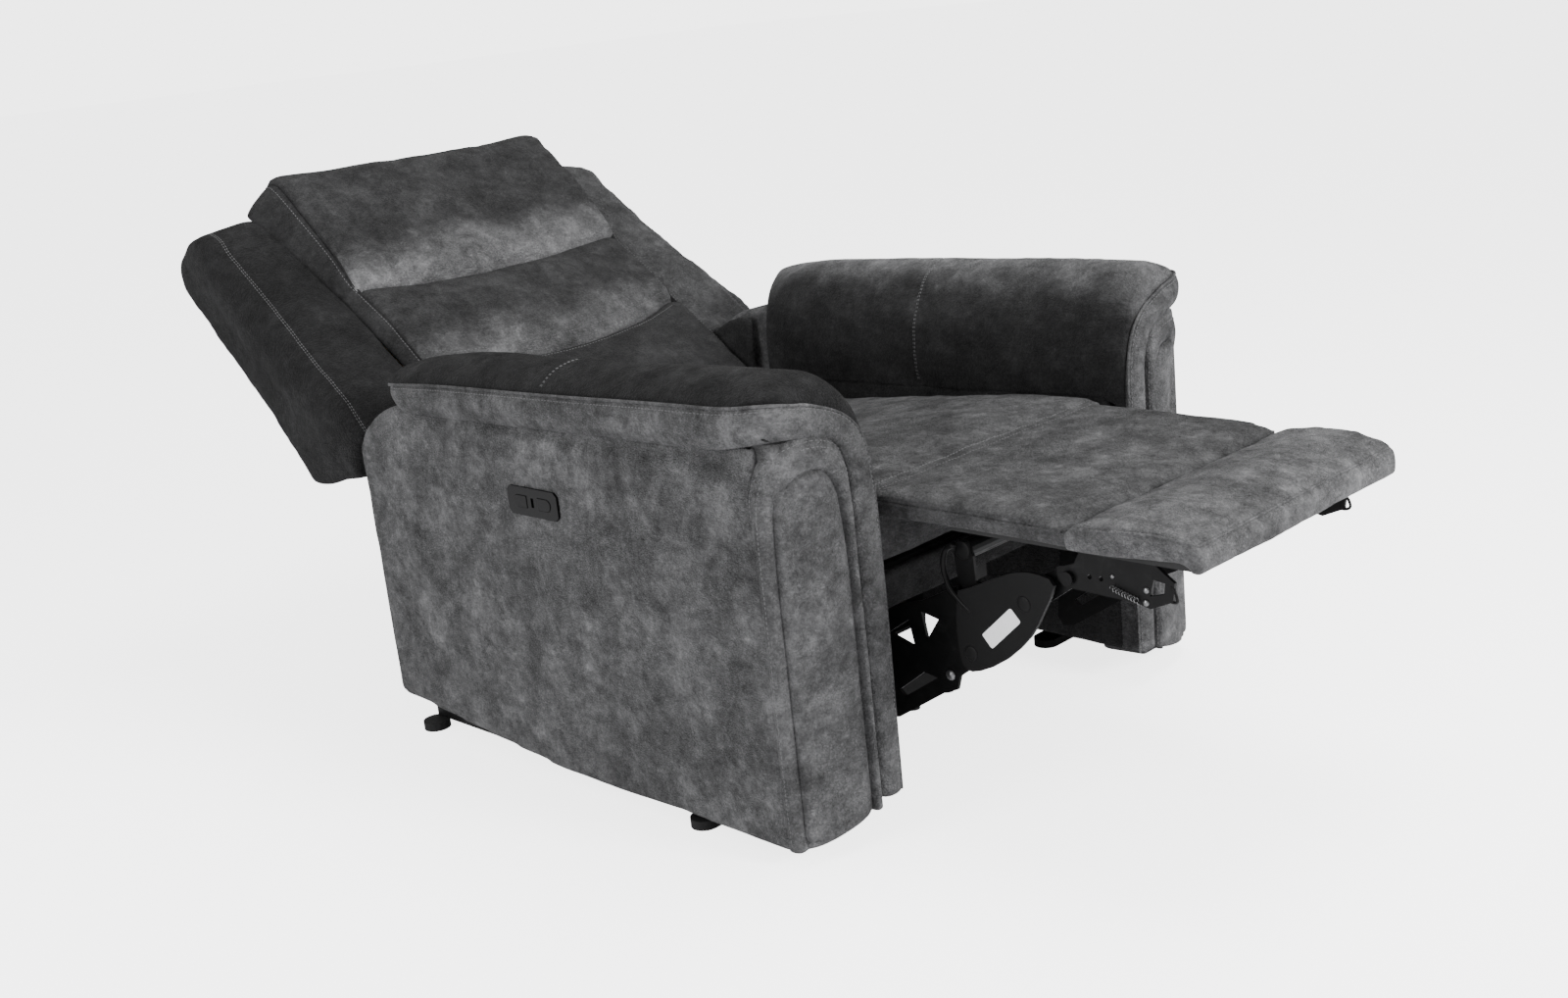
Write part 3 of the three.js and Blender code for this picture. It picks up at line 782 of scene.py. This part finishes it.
def open_inside(piece, s):
    """Leaves only the outer skin of an arm, as thick as its cloth, open towards the seat and below."""
    mesh = bmesh.new()
    mesh.from_mesh(piece.data)
    gone = []
    for face in mesh.faces:
        c = face.calc_center_median() / MM
        n = face.normal
        y = c.y - SEAM_Y
        inward = s * n.x < -0.6 and y < CLOSED_Y
        below = n.z < -0.6 and abs(c.x) < ARM_SKIRT
        front = n.y < -0.6 and y < 30 and abs(c.x) < 440
        hidden_top = n.z > 0.6 and y < 735
        behind_switch = s < 0 and n.x < -0.6 and abs(y - SWITCH_Y) < 44 and abs(c.z - SWITCH_Z) < 13
        if inward or below or front or hidden_top or behind_switch:
            gone.append(face)
    bmesh.ops.delete(mesh, geom=gone, context="FACES")
    mesh.to_mesh(piece.data)
    mesh.free()
    modify(piece, "SOLIDIFY", thickness=COVER_CLOTH * MM, offset=-1)


def arm_pad(side, s):
    """The pad's skin as a loft from front to back: over the top and down the inner side."""
    section = [(x, PAD_MID_Y, z) for x, z in PAD_SECTION]
    t = even(section, 8)
    skin, front, rear = flow(section, t), flow(PAD_FRONT, t), flow(PAD_BACK, t)
    w = np.linspace(0, 1, PAD_RINGS)[:, None]
    y = front[:, 1] + (rear[:, 1] - front[:, 1]) * w
    x, z = skin[:, 0], skin[:, 2] + PAD_FALL * (y - PAD_MID_Y)
    for end, roll in ((front, PAD_ROLL_FRONT), (rear, PAD_ROLL_BACK)):
        near = np.clip(1 - np.abs(y - end[:, 1]) / roll, 0, 1)
        drop = 1 - np.sqrt(1 - near**2)
        x = x + (end[:, 0] - skin[:, 0]) * drop
        z = z + (end[:, 2] - PAD_FALL * (end[:, 1] - PAD_MID_Y) - skin[:, 2]) * drop
    under = curve([(x, 0, z) for x, z in PAD_UNDERSIDE], 12)
    y_low = PAD_BASE[0] + (PAD_BASE[1] - PAD_BASE[0]) * w
    base = chair(s * under[:, 0], y_low, under[:, 2] + PAD_FALL * (y_low - PAD_MID_Y))
    rings = np.concatenate([chair(s * x, y, z), base], 1)
    i, j = np.indices(rings.shape[:2])
    free = (j > 1) & (j < len(t) - 2) & (i > 1) & (i < PAD_RINGS - 2)
    return stuff(union(f"arm_pad_soft_{side}", loft(rings)), ~free.ravel(), 6, 3.0)


def finish_pad(piece, side, s):
    subdivide(piece)
    across = pad_seam(s)
    sew(piece, across, 2.6, 4.5, 1.0, 30, 21)
    piping = laid_out(curve(BOXING_TOP, STEP), s)
    gap, along = nearest(points(piece), piping)
    front = np.exp(-(((along - 760) / 120) ** 2))
    gathers = wave(along / 19, 31) + 0.5 * wave(along / 9, 32)
    push(piece, (1.0 + 2.6 * front) * gathers * np.exp(-gap / 34) * ramp(gap, 1, 12))
    ruffle(piece, 1.5, 41 + (s > 0))
    # The left pad is dressed in the copy with painted shade and a painted highlight on its outer side, the
    # right pad in the painted-shadow copy.
    upholster(piece, SUEDE_PAD_SHADE_AND_HIGHLIGHT if side == "left" else SUEDE_SHADOWED, "chassis", f"arm_pad_{side}")
    stitches(f"arm_pad_cross_stitching_{side}", piece, [on_skin(piece, across)], "chassis", gap=3)


def pad_seam(s):
    """The seam across the middle of the pad, a little further back at its outer end."""
    x, z = np.array(PAD_SECTION, float).T
    y = np.interp(x, (285, 465), (375, 414))
    section = curve(np.stack([x, y, z + PAD_FALL * (y - PAD_MID_Y)], 1), 5)[2:-2]
    return chair(s * section[:, 0], section[:, 1], section[:, 2])


def arm_strip(name, s, edge_a, edge_b, *shape):
    core = (s * ARM_MIDDLE, PAD_MID_Y, 0)
    return strip(f"{name}_{SIDE_OF[s]}", mirrored(edge_a, s), mirrored(edge_b, s), core, *shape)


def arm_trim(side, s):
    """Boxing strip, front border, insert and piping: the sewn parts round the arm's front."""
    boxing = arm_strip("arm_boxing_strip", s, BOXING_TOP, BOXING_LOW, 9, 10, 1)
    border = arm_strip("arm_front_border", s, BORDER_OUTER, BORDER_INNER, 9, 12, 7)
    under = offset_edge(BORDER_INNER, BORDER_OUTER, 0.1)
    insert = arm_strip("arm_front_insert", s, under[:SPLIT + 1], under[SPLIT:][::-1], 11, 8, 5, 24)
    section = [(-22, 34), (60, 28), (60, 574), (-8, 576), (-22, 566)]
    foam = union(f"arm_front_core_{side}", prism(section, s * 318, s * 444))
    upholster(soften(foam, 7, 4), SUEDE, "chassis")
    lining_edges = ([(286, -30, z) for z in (56, 250, 440)], [(293, 16, z) for z in (52, 250, 440)])
    lining = arm_strip("arm_front_band_lining", s, *lining_edges, 1, 3, 0, 6)
    parts = (
        (boxing, 0.9, 51, f"arm_front_band_{side}", 0.5),
        (border, 0.8, 53, None, 0.6),
        (insert, 1.6, 55, f"arm_front_panel_{side}", 0.7),
        (lining, 0.3, 57, None, None),
    )
    for piece, rough, seed, node, fill in parts:
        ruffle(piece, rough, seed)
        upholster(piece, SUEDE, "chassis", node)
    edge = laid_out(curve(BOXING_TOP, STEP), s)
    upholster(tube(f"arm_piping_{side}", edge, PIPING_R), SUEDE, "chassis")
    inner = curve(offset_edge(BOXING_TOP, BOXING_LOW, 0.16), STEP)
    arch = curve(offset_edge(BORDER_OUTER, BORDER_INNER, 0.34), STEP)
    rows = (("arm_boxing_stitching", boxing, inner, 0), ("arm_border_stitching", border, arch, 6))
    for name, target, line, gap in rows:
        stitches(f"{name}_{side}", target, [laid_out(line, s)], "chassis", gap)


def offset_edge(edge, other, share):
    edge, other = np.array(edge, float), np.array(other, float)
    return edge + (other - edge) * share


def inner_panel(side, s):
    piece = soften(copy_of(f"arm_inner_panel_{side}", f"arm_inner_panel_soft_{side}"), 7, 4)
    co = points(piece)
    x, _, z = chair_mm(co)
    inward = ramp(300 - abs(x), 2, 8)
    uneven = 0.7 + 1.2 * lumps(co, 80, 61) + 0.9 * lumps(co, 30, 62) * np.exp(-z / 300)
    co[:, 0] -= s * inward * uneven * MM
    set_points(piece, co)
    upholster(piece, SUEDE_MID_SHADED, "chassis", f"arm_inner_panel_{side}")


# ---------- seat and legrest ----------
SEAT_TOP = [(14, 461), (60, 463), (180, 456), (331, 440), (526, 419), (640, 405), (694, 396)]


def seat_cushion():
    outline = [(2, 354), (698, 354), *SEAT_TOP[::-1], (2, 460)]
    piece = soften(union("seat_cushion_soft", prism(outline, -SEAT_HALF, SEAT_HALF)), 8, 6)
    x, y, z = chair_mm(points(piece))
    top = np.interp(y, *np.array(SEAT_TOP, float).T)
    held = ramp(abs(x), 240, 272) + ramp(top - z, 14, 34) + ramp(22 - y, 0, 10) + ramp(y, 655, 690)
    return stuff(piece, held, 16, 4.0)


def calf_pad():
    outline = [
        (20, 424), (-310, 424), (-312, 442), (-304, 453), (-240, 459), (-150, 461), (-60, 461), (20, 460),
    ]
    piece = soften(union("calf_pad_soft", prism(outline, -CALF_HALF, CALF_HALF)), 6, 4)
    co = points(piece)
    _, y, z = chair_mm(co)
    co[:, 0] *= 1 - 0.022 * ramp(445 - z, 0, 6)
    set_points(piece, co)
    held = ramp(442 - z, -3, 3) + ramp(y, -8, 8) + ramp(-y, 292, 304)
    return stuff(piece, held, 12, 3.0)


def foot_pad():
    outline = [
        (-309, 423), (-309, 446), (-322, 457), (-370, 464), (-430, 463), (-468, 456), (-483, 449),
        (-490, 436), (-489, 412), (-472, 411), (-469, 423),
    ]
    piece = soften(union("foot_pad_soft", prism(outline, -FOOT_HALF, FOOT_HALF)), 6, 4)
    co = points(piece)
    _, y, z = chair_mm(co)
    co[:, 0] *= 1 - 0.07 * np.clip((-311 - y) / 170, 0, 1)
    set_points(piece, co)
    held = ramp(428 - z, -3, 3) + ramp(y, -324, -314) + 0.7 * ramp(-y, 474, 482)
    return stuff(piece, held, 12, 4.0)


def finish_seat(seat, calf, foot):
    for piece, rough, seed in ((seat, 2.2, 71), (calf, 1.3, 73), (foot, 2.2, 75)):
        subdivide(piece)
        ruffle(piece, rough, seed)
    seams = (
        (seat, 274, 12, 464, 2.0, 8, 1.4, 40, 77),
        (calf, 248, 6, 462, 2.0, 8, 0.8, 40, 78),
        (calf, 244, -304, 455, 3.0, 9, 0.9, 45, 79),
        (foot, 244, -314, 452, 2.0, 9, 1.8, 45, 80),
    )
    for piece, half, y, z, *press in seams:
        sew(piece, row_on(piece, half, y, z), *press)
    foot_edge(foot)
    edge = curve([(251, y, 445) for y in (-2, -60, -160, -260, -304)], STEP)
    rims = {}
    for side, s in SIDES:
        line = on_skin(calf, laid_out(edge, s))
        sew(calf, line, 2.4, 4, 0.5, 14, 83)
        rims[side] = on_skin(calf, line, 0.6)
    upholster(seat, SUEDE_SEAT_SHADED, "chassis", "seat_cushion")
    upholster(foot, SUEDE_FOOT_LIT, "legrest", "foot_pad")
    upholster(calf, SUEDE_SEAT_SHADED, FOLD, "calf_pad")
    for side, rim in rims.items():
        upholster(tube(f"calf_pad_piping_{side}", rim, 2.2), SUEDE_SEAT_SHADED, FOLD)
    stitches("seat_front_stitching", seat, [row_on(seat, 270, 17, 466, count=90)], "chassis")
    stitches("calf_pad_stitching", calf, [row_on(calf, 243, 0, 464, count=90)], FOLD)


def foot_edge(foot):
    """The piped edge along the foot pad's sides and front."""
    rising = [(-252, -330, 453), (-247, -400, 457), (-240, -452, 456), (-232, -478, 452), (-205, -484, 451)]
    edge = [*rising, (0, -485, 452), *mirrored(rising[::-1], -1)]
    line = on_skin(foot, laid_out(curve(edge, STEP)))
    sew(foot, line, 1.6, 4, 0.9, 22, 84)
    upholster(tube("foot_pad_piping", on_skin(foot, line, 0.2), 1.9), SUEDE_FOOT_LIT, "legrest")


def seat_front_panel():
    piece = soften(copy_of("seat_front_panel", "seat_front_panel_soft"), 6, 4)
    co = points(piece)
    x, y, z = chair_mm(co)
    front = ramp(-y, -2, 5)
    co[:, 1] -= front * (1.6 * lumps(co, 70, 91) + 1.2 * wave(x / 40, 92) * ramp(350 - z, 0, 50)) * MM
    set_points(piece, co)
    upholster(piece, SUEDE_MID_SHADED, "chassis", "seat_front_panel")


# ---------- back ----------
# The seam where the two lower channels meet dips in its middle, and so does the pillow's lower edge.
LOW_SEAM, HIGH_SEAM = 258, 459
DIP_HALF = 262
# The back's side edge from the seat up: its piping line (x, u, v), and where its side band meets the wing.
BACK_RIM = [
    (286, 36, 42), (287, 150, 52), (287, 257, 50), (285, 360, 55), (283, 457, 52), (288, 520, 70),
    (292, 600, 82), (293, 690, 92), (291, 735, 86), (287, 758, 58),
]
BACK_FOOT = [
    (299, 36, 8), (299, 150, 16), (299, 257, 22), (303, 360, 24), (308, 457, 24), (316, 520, 26),
    (325, 600, 28), (333, 690, 28), (329, 740, 20), (300, 765, 0),
]


def dip(x, deep):
    return deep * np.clip(1 - (np.abs(x) / DIP_HALF) ** 2.2, 0, 1)


# The back's cushions from the seat up: outline in (u, v), half width, how far it swells, material, seed.
CUSHIONS = {
    "lumbar_cushion": (
        [(30, 4), (28, 42), (50, 52), (150, 56), (232, 54), (262, 44), (262, 4)],
        CHANNEL_HALF, 15, SUEDE_MID_SHADED, 101,
    ),
    "middle_cushion": (
        [(256, 4), (256, 44), (285, 58), (370, 62), (440, 60), (466, 48), (466, 4)],
        CHANNEL_HALF, 17, SUEDE_MIDDLE_SHADE_AND_HIGHLIGHT, 103,
    ),
    "head_pillow": (
        [(456, 4), (452, 48), (470, 68), (583, 88), (660, 99), (720, 103), (752, 91), (766, 58), (767, 0),
         (763, -30), (741, -34), (741, 4)],
        PILLOW_HALF, 20, SUEDE_PILLOW_SHADE_AND_HIGHLIGHT, 105,
    ),
}


def cushion(name):
    outline, half, cap, _, _ = CUSHIONS[name]
    piece = soften(union(f"{name}_soft", prism(outline, -half, half, back)), 8, 6)
    x, u, v = back_mm(points(piece))
    u = u - dip(x, 40) * np.exp(-(((u - LOW_SEAM) / 75) ** 2))
    u = u - dip(x, 22) * np.exp(-(((u - HIGH_SEAM) / 60) ** 2)) * ramp(v, 20, 50)
    set_points(piece, back(x, u, v))
    x, u, v = back_mm(points(piece))
    held = ramp(22 - v, 0, 10) + ramp(np.abs(x), half - 10, half - 4) * 0.8
    return stuff(piece, held, cap, 4.0)


def wing(side, s):
    piece = soften(copy_of(f"wing_{side}", f"wing_soft_{side}"), 6, 16)
    co = points(piece)
    x, u, v = back_mm(co)
    slope = ramp(np.abs(x), 330, 460) * ramp(v, -60, 10)
    fuller = 5 * ramp(np.abs(x), 306, 330) * ramp(u, 200, 225)
    x = x + s * 8 * np.exp(-(((u - 262) / 70) ** 2)) * ramp(np.abs(x), 380, 450)
    co = back(x, u, v - 16 * slope) + normals(piece) * (fuller * MM)[:, None]
    set_points(piece, co)
    x, u, v = back_mm(co)
    held = ramp(304 - np.abs(x), -3, 3) + ramp(-v, 60, 100) + ramp(205 - u, 0, 20)
    return stuff(piece, held, 9, 3.0)


def finish_back(cushions, wings):
    for piece, (name, (_, _, _, material, seed)) in zip(cushions, CUSHIONS.items()):
        subdivide(piece)
        ruffle(piece, 2.6, seed)
        upholster(piece, material, "back", name)
    x = np.linspace(-DIP_HALF, DIP_HALF, 90)
    rows = (("lumbar_stitching", 246, 40, 58), ("middle_stitching", 274, 38, 62))
    for piece, (name, u, deep, v) in zip(cushions, rows):
        stitches(name, piece, [on_skin(piece, back(x, u - dip(x, deep), v))], "back")
    for side, s in SIDES:
        back_side(cushions, side, s)
        finish_wing(wings[side], side, s)


def back_side(cushions, side, s):
    """The stitched rim of the back's cushions, and the band from it down to the wing."""
    aim = laid_out(curve(BACK_RIM, STEP), s, back)
    laid = np.array([on_skin(piece, aim) for piece in cushions])
    pick = np.linalg.norm(laid - aim, axis=2).argmin(0)
    rim = laid[pick, np.arange(len(aim))]
    for _ in range(6):
        rim[1:-1] = 0.25 * rim[:-2] + 0.5 * rim[1:-1] + 0.25 * rim[2:]
    edge = np.stack(back_mm(rim), 1)[::4]
    foot = curve(mirrored(BACK_FOOT, s), STEP)
    foot = foot[[round(i) for i in np.linspace(0, len(foot) - 1, len(edge))]]
    band = strip(f"back_side_band_{side}", edge, foot, (0, 384, 0), 6, 6, 1, place=back)
    ruffle(band, 1.2, 107 + s)
    upholster(band, SUEDE_MID_SHADED, "back")
    upholster(tube(f"back_piping_{side}", rim, 1.7), SUEDE_MID_SHADED, "back")
    row = laid_out(curve(offset_edge(edge, foot, 0.16), STEP), place=back)
    stitches(f"back_side_stitching_{side}", band, [row], "back")


def finish_wing(piece, side, s):
    modify(piece, "SMOOTH", factor=0.5, iterations=6)
    subdivide(piece)
    ruffle(piece, 2.4, 111 + s)
    u = np.linspace(178, 735, 70)
    line = on_skin(piece, back(s * np.interp(u, [170, 245, 515, 735], [440, 432, 414, 405]), u, 12))
    sew(piece, line, 1.8, 5, 1.0, 30, 121)
    # The left wing is dressed in the lighter painted-light copy and the right wing in the painted-shadow
    # copy.
    upholster(piece, SUEDE_LIT_WING if side == "left" else SUEDE_SHADOWED, "back", f"wing_{side}")
    stitches(f"wing_stitching_{side}", piece, [line], "back", gap=3)


def back_cover():
    piece = soften(copy_of("back_cover", "back_cover_soft"), 7, 6)
    co = points(piece)
    x, u, v = back_mm(co)
    rear = ramp(-v, 118, 132)
    swell = 3 * ramp(280 - np.abs(x), 0, 90) * ramp(u, -110, 20) * ramp(740 - u, 0, 120)
    uneven = 1.6 * lumps(co, 110, 131) + 0.8 * lumps(co, 40, 132)
    push(piece, (swell + uneven) * rear)
    for line in [row_on(piece, 270, u, -140, back) for u in (190, 470)]:
        sew(piece, line, 2.4, 5, 1.2, 40, 133)
    upholster(piece, SUEDE, "back", "back_cover")
    rows = [row_on(piece, 268, u + 9, -140, back, 90) for u in (190, 470)]
    stitches("back_cover_stitching", piece, rows, "back")


# ---------- mechanism hardware ----------
HEAD_RINGS, HEAD_SIDES = 4, 14
COIL_TURNS = 9
CRANK_END, BRACKET_END = np.array([-120.0, 242.0]), np.array([-213.0, 327.0])  # ends of the link cover
LABEL_MIDDLE, LABEL_HALF, LABEL_CORNER = np.array([-174.0, 287.0]), (31, 8.5), 3


def round_head(s, x, y, z, radius, rise):
    """A domed bolt or rivet head that faces away from the centre line."""
    level = np.linspace(0, math.pi / 2, HEAD_RINGS + 1)[:, None]
    turn = np.linspace(0, 2 * math.pi, HEAD_SIDES, endpoint=False) + math.pi / 4
    r = radius * np.maximum(np.cos(level), 0.08)
    return loft(chair(s * (x + rise * np.sin(level)), y + r * np.cos(turn), z + r * np.sin(turn)))


def heads(name, s, face, spots, material, body):
    """Heads on one side's linkage, on the face that far from the centre line: (y, z, radius, rise)."""
    piece = union(f"{name}_{SIDE_OF[s]}", *(round_head(s, face, *spot) for spot in spots))
    dress(piece, material, body)


def wire(name, controls, step, radius, sides, body):
    dress(tube(name, laid_out(curve(controls, step)), radius, sides), STEEL, body)


def mechanism(side, s):
    discs = [(*end, 11, 1.6) for end in (CRANK_END, BRACKET_END)]
    pins = [(-74, 199, 8, 4), (96, 304, 7, 3.5), (-100, 310, 4, 2)]
    bolts = [(-393, 373, 4.5, 2.6), (-392, 357, 4.5, 2.6), (-345, 383, 3, 2)]
    heads("front_link_bolts", s, CRANK_FACE, [(-280, 371, 8, 4)], ZINC, "front_links")
    heads("front_tube_cap", s, CRANK_FACE, [(-105, 378, 13, 1.6)], PLASTIC, "front_links")
    bend = [
        (215, -104, 390), (215, -88, 380), (215, -82, 356), (215, -90, 330), (215, -108, 312),
        (214, -124, 300),
    ]
    wire(f"front_link_hook_{side}", mirrored(bend, s), 4, 4, 12, "front_links")
    heads("link_cover_discs", s, COVER_FACE, discs, PLASTIC, "front_links")
    heads("rear_link_bolts", s, LINK_FACE, pins, ZINC, "rear_links")
    heads("bracket_bolts", s, LINK_FACE, bolts, ZINC, "legrest")
    t = np.linspace(0, 1, 140)
    turn = t * 2 * math.pi * COIL_TURNS
    y, z = -346 - 38 * t, 370 - 11 * t
    coil = chair(s * (212.5 + 3.2 * np.cos(turn)), y + 0.9 * np.sin(turn), z + 3.2 * np.sin(turn))
    dress(tube(f"legrest_spring_{side}", coil, 0.8, 6), ZINC, "legrest")
    hook = [(205, -416, 366), (206, -428, 363), (208, -436, 366), (208, -434, 376), (206, -428, 384)]
    wire(f"legrest_hook_{side}", mirrored(hook, s), 3, 2.0, 8, "legrest")
    sticker(side, s)


def sticker(side, s):
    """A blank label with round corners, stuck on the link cover along its length."""
    ahead = (BRACKET_END - CRANK_END) / np.linalg.norm(BRACKET_END - CRANK_END)
    beside = np.array([-ahead[1], ahead[0]])
    outline = []
    for quarter, (cx, cy) in enumerate(((1, 1), (-1, 1), (-1, -1), (1, -1))):
        for a in np.linspace(0, math.pi / 2, 5) + quarter * math.pi / 2:
            long = cx * LABEL_HALF[0] + LABEL_CORNER * math.cos(a)
            wide = cy * LABEL_HALF[1] + LABEL_CORNER * math.sin(a)
            outline.append(LABEL_MIDDLE + ahead * long + beside * wide)
    piece = union(f"link_cover_label_{side}", prism(outline, s * COVER_FACE, s * (COVER_FACE + 0.4)))
    piece.data.materials.append(LABEL)
    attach(piece, "front_links")


# ---------- everything else keeps its CAD shape ----------
# Finish, single pieces, and pieces with one on each side.
CAD_FINISHES = (
    (STEEL, "base_front_rail base_rear_rail seat_rear_rail torque_tube front_tube drive_rail",
     "base_inner_rail base_outer_rail side_plate rear_link front_link legrest_bracket back_bracket"),
    (PLYWOOD, "seat_front_rail back_board", "arm_board"),
    (PLASTIC, "drive_motor power_inlet drive_nut", "link_cover"),
    (BUTTON, "button_open button_close", ""),
    (GLOSS, "control_plate", ""),
    (LINING, "seat_deck legrest_board", ""),
    (RUBBER, "", "foot_front foot_rear glide_strip"),
)


def dress_frame():
    for material, single, paired in CAD_FINISHES:
        for name in single.split() + [f"{name}_{side}" for name in paired.split() for side, _ in SIDES]:
            finishes = frame["nodes"][name].data.materials
            finishes.clear()
            finishes.append(material)


# ---------- studio ----------
# Floor and backdrop each have two strengths: as light on the chair, and as the camera sees them.
FLOOR_GLOW = (0.1, 3.0)
BACKDROP_GLOW = (0.85, 4.0)
FLOOR_HALF = 40
CAMERA_PLACE = (-1.9182, -2.0644, 1.1117)
CAMERA_TURN, CAMERA_TILT, CAMERA_ROLL = (math.radians(a) for a in (-43.797, 15.866, -6.078))
CAMERA_LENS = 41.503


def add_camera():
    data = bpy.data.cameras.new("camera")
    data.lens = CAMERA_LENS
    camera = new_object("camera", data)
    aim = Matrix.Rotation(CAMERA_TURN, 4, "Z") @ Matrix.Rotation(math.pi / 2 - CAMERA_TILT, 4, "X")
    camera.matrix_world = Matrix.Translation(CAMERA_PLACE) @ aim @ Matrix.Rotation(CAMERA_ROLL, 4, "Z")
    bpy.context.scene.camera = camera


def add_light(name, place, aim, size, power):
    data = bpy.data.lights.new(name, "AREA")
    data.shape, data.size, data.energy = "DISK", size, power
    light = new_object(name, data)
    light.location = place
    light.rotation_euler = (Vector(aim) - Vector(place)).to_track_quat("-Z", "Y").to_euler()


def studio():
    m = Nodes("pale_floor")
    m.finish(grey(0.93), m.vary(m.noise(3, 2.0), 0.99, 1.01), 0.9, Emission_Color=(1, 1, 1, 1))
    seen = m.add("LightPath").outputs["Is Camera Ray"]
    m.put(m.shader.inputs["Emission Strength"], m.fit(seen, 0, 1, *FLOOR_GLOW))
    corners = [(x * FLOOR_HALF, y * FLOOR_HALF, 0) for x, y in ((-1, -1), (1, -1), (1, 1), (-1, 1))]
    floor = make("floor", corners, [(0, 1, 2, 3)])
    floor.data.materials.append(m.material)
    world = bpy.data.worlds.new("studio")
    world.use_nodes = True
    nodes, links = world.node_tree.nodes, world.node_tree.links
    backdrop = nodes["Background"]
    backdrop.inputs["Color"].default_value = (1, 1, 1, 1)
    seen = nodes.new("ShaderNodeLightPath").outputs["Is Camera Ray"]
    strength = nodes.new("ShaderNodeMapRange")
    strength.inputs["To Min"].default_value, strength.inputs["To Max"].default_value = BACKDROP_GLOW
    links.new(seen, strength.inputs["Value"])
    links.new(strength.outputs["Result"], backdrop.inputs["Strength"])
    bpy.context.scene.world = world
    add_light("key", (0.4, -3.9, 1.8), (0, 0, 0.4), 1.3, 210)
    add_light("side", (-3.6, 0.4, 1.4), (0, 0.1, 0.4), 1.5, 100)
    add_light("top", (0.6, -0.6, 3.4), (0, 0, 0.4), 1.8, 75)


# ---------- build ----------
add_camera()
studio()
dress_frame()
for side, s in SIDES:
    arm_cover(side, s)
    arm_trim(side, s)
    inner_panel(side, s)
pads = {side: arm_pad(side, s) for side, s in SIDES}
seat, calf, foot = seat_cushion(), calf_pad(), foot_pad()
cushions = [cushion(name) for name in CUSHIONS]
wings = {side: wing(side, s) for side, s in SIDES}
inflate_all()
for side, s in SIDES:
    finish_pad(pads[side], side, s)
finish_seat(seat, calf, foot)
finish_back(cushions, wings)
seat_front_panel()
back_cover()
for side, s in SIDES:
    mechanism(side, s)
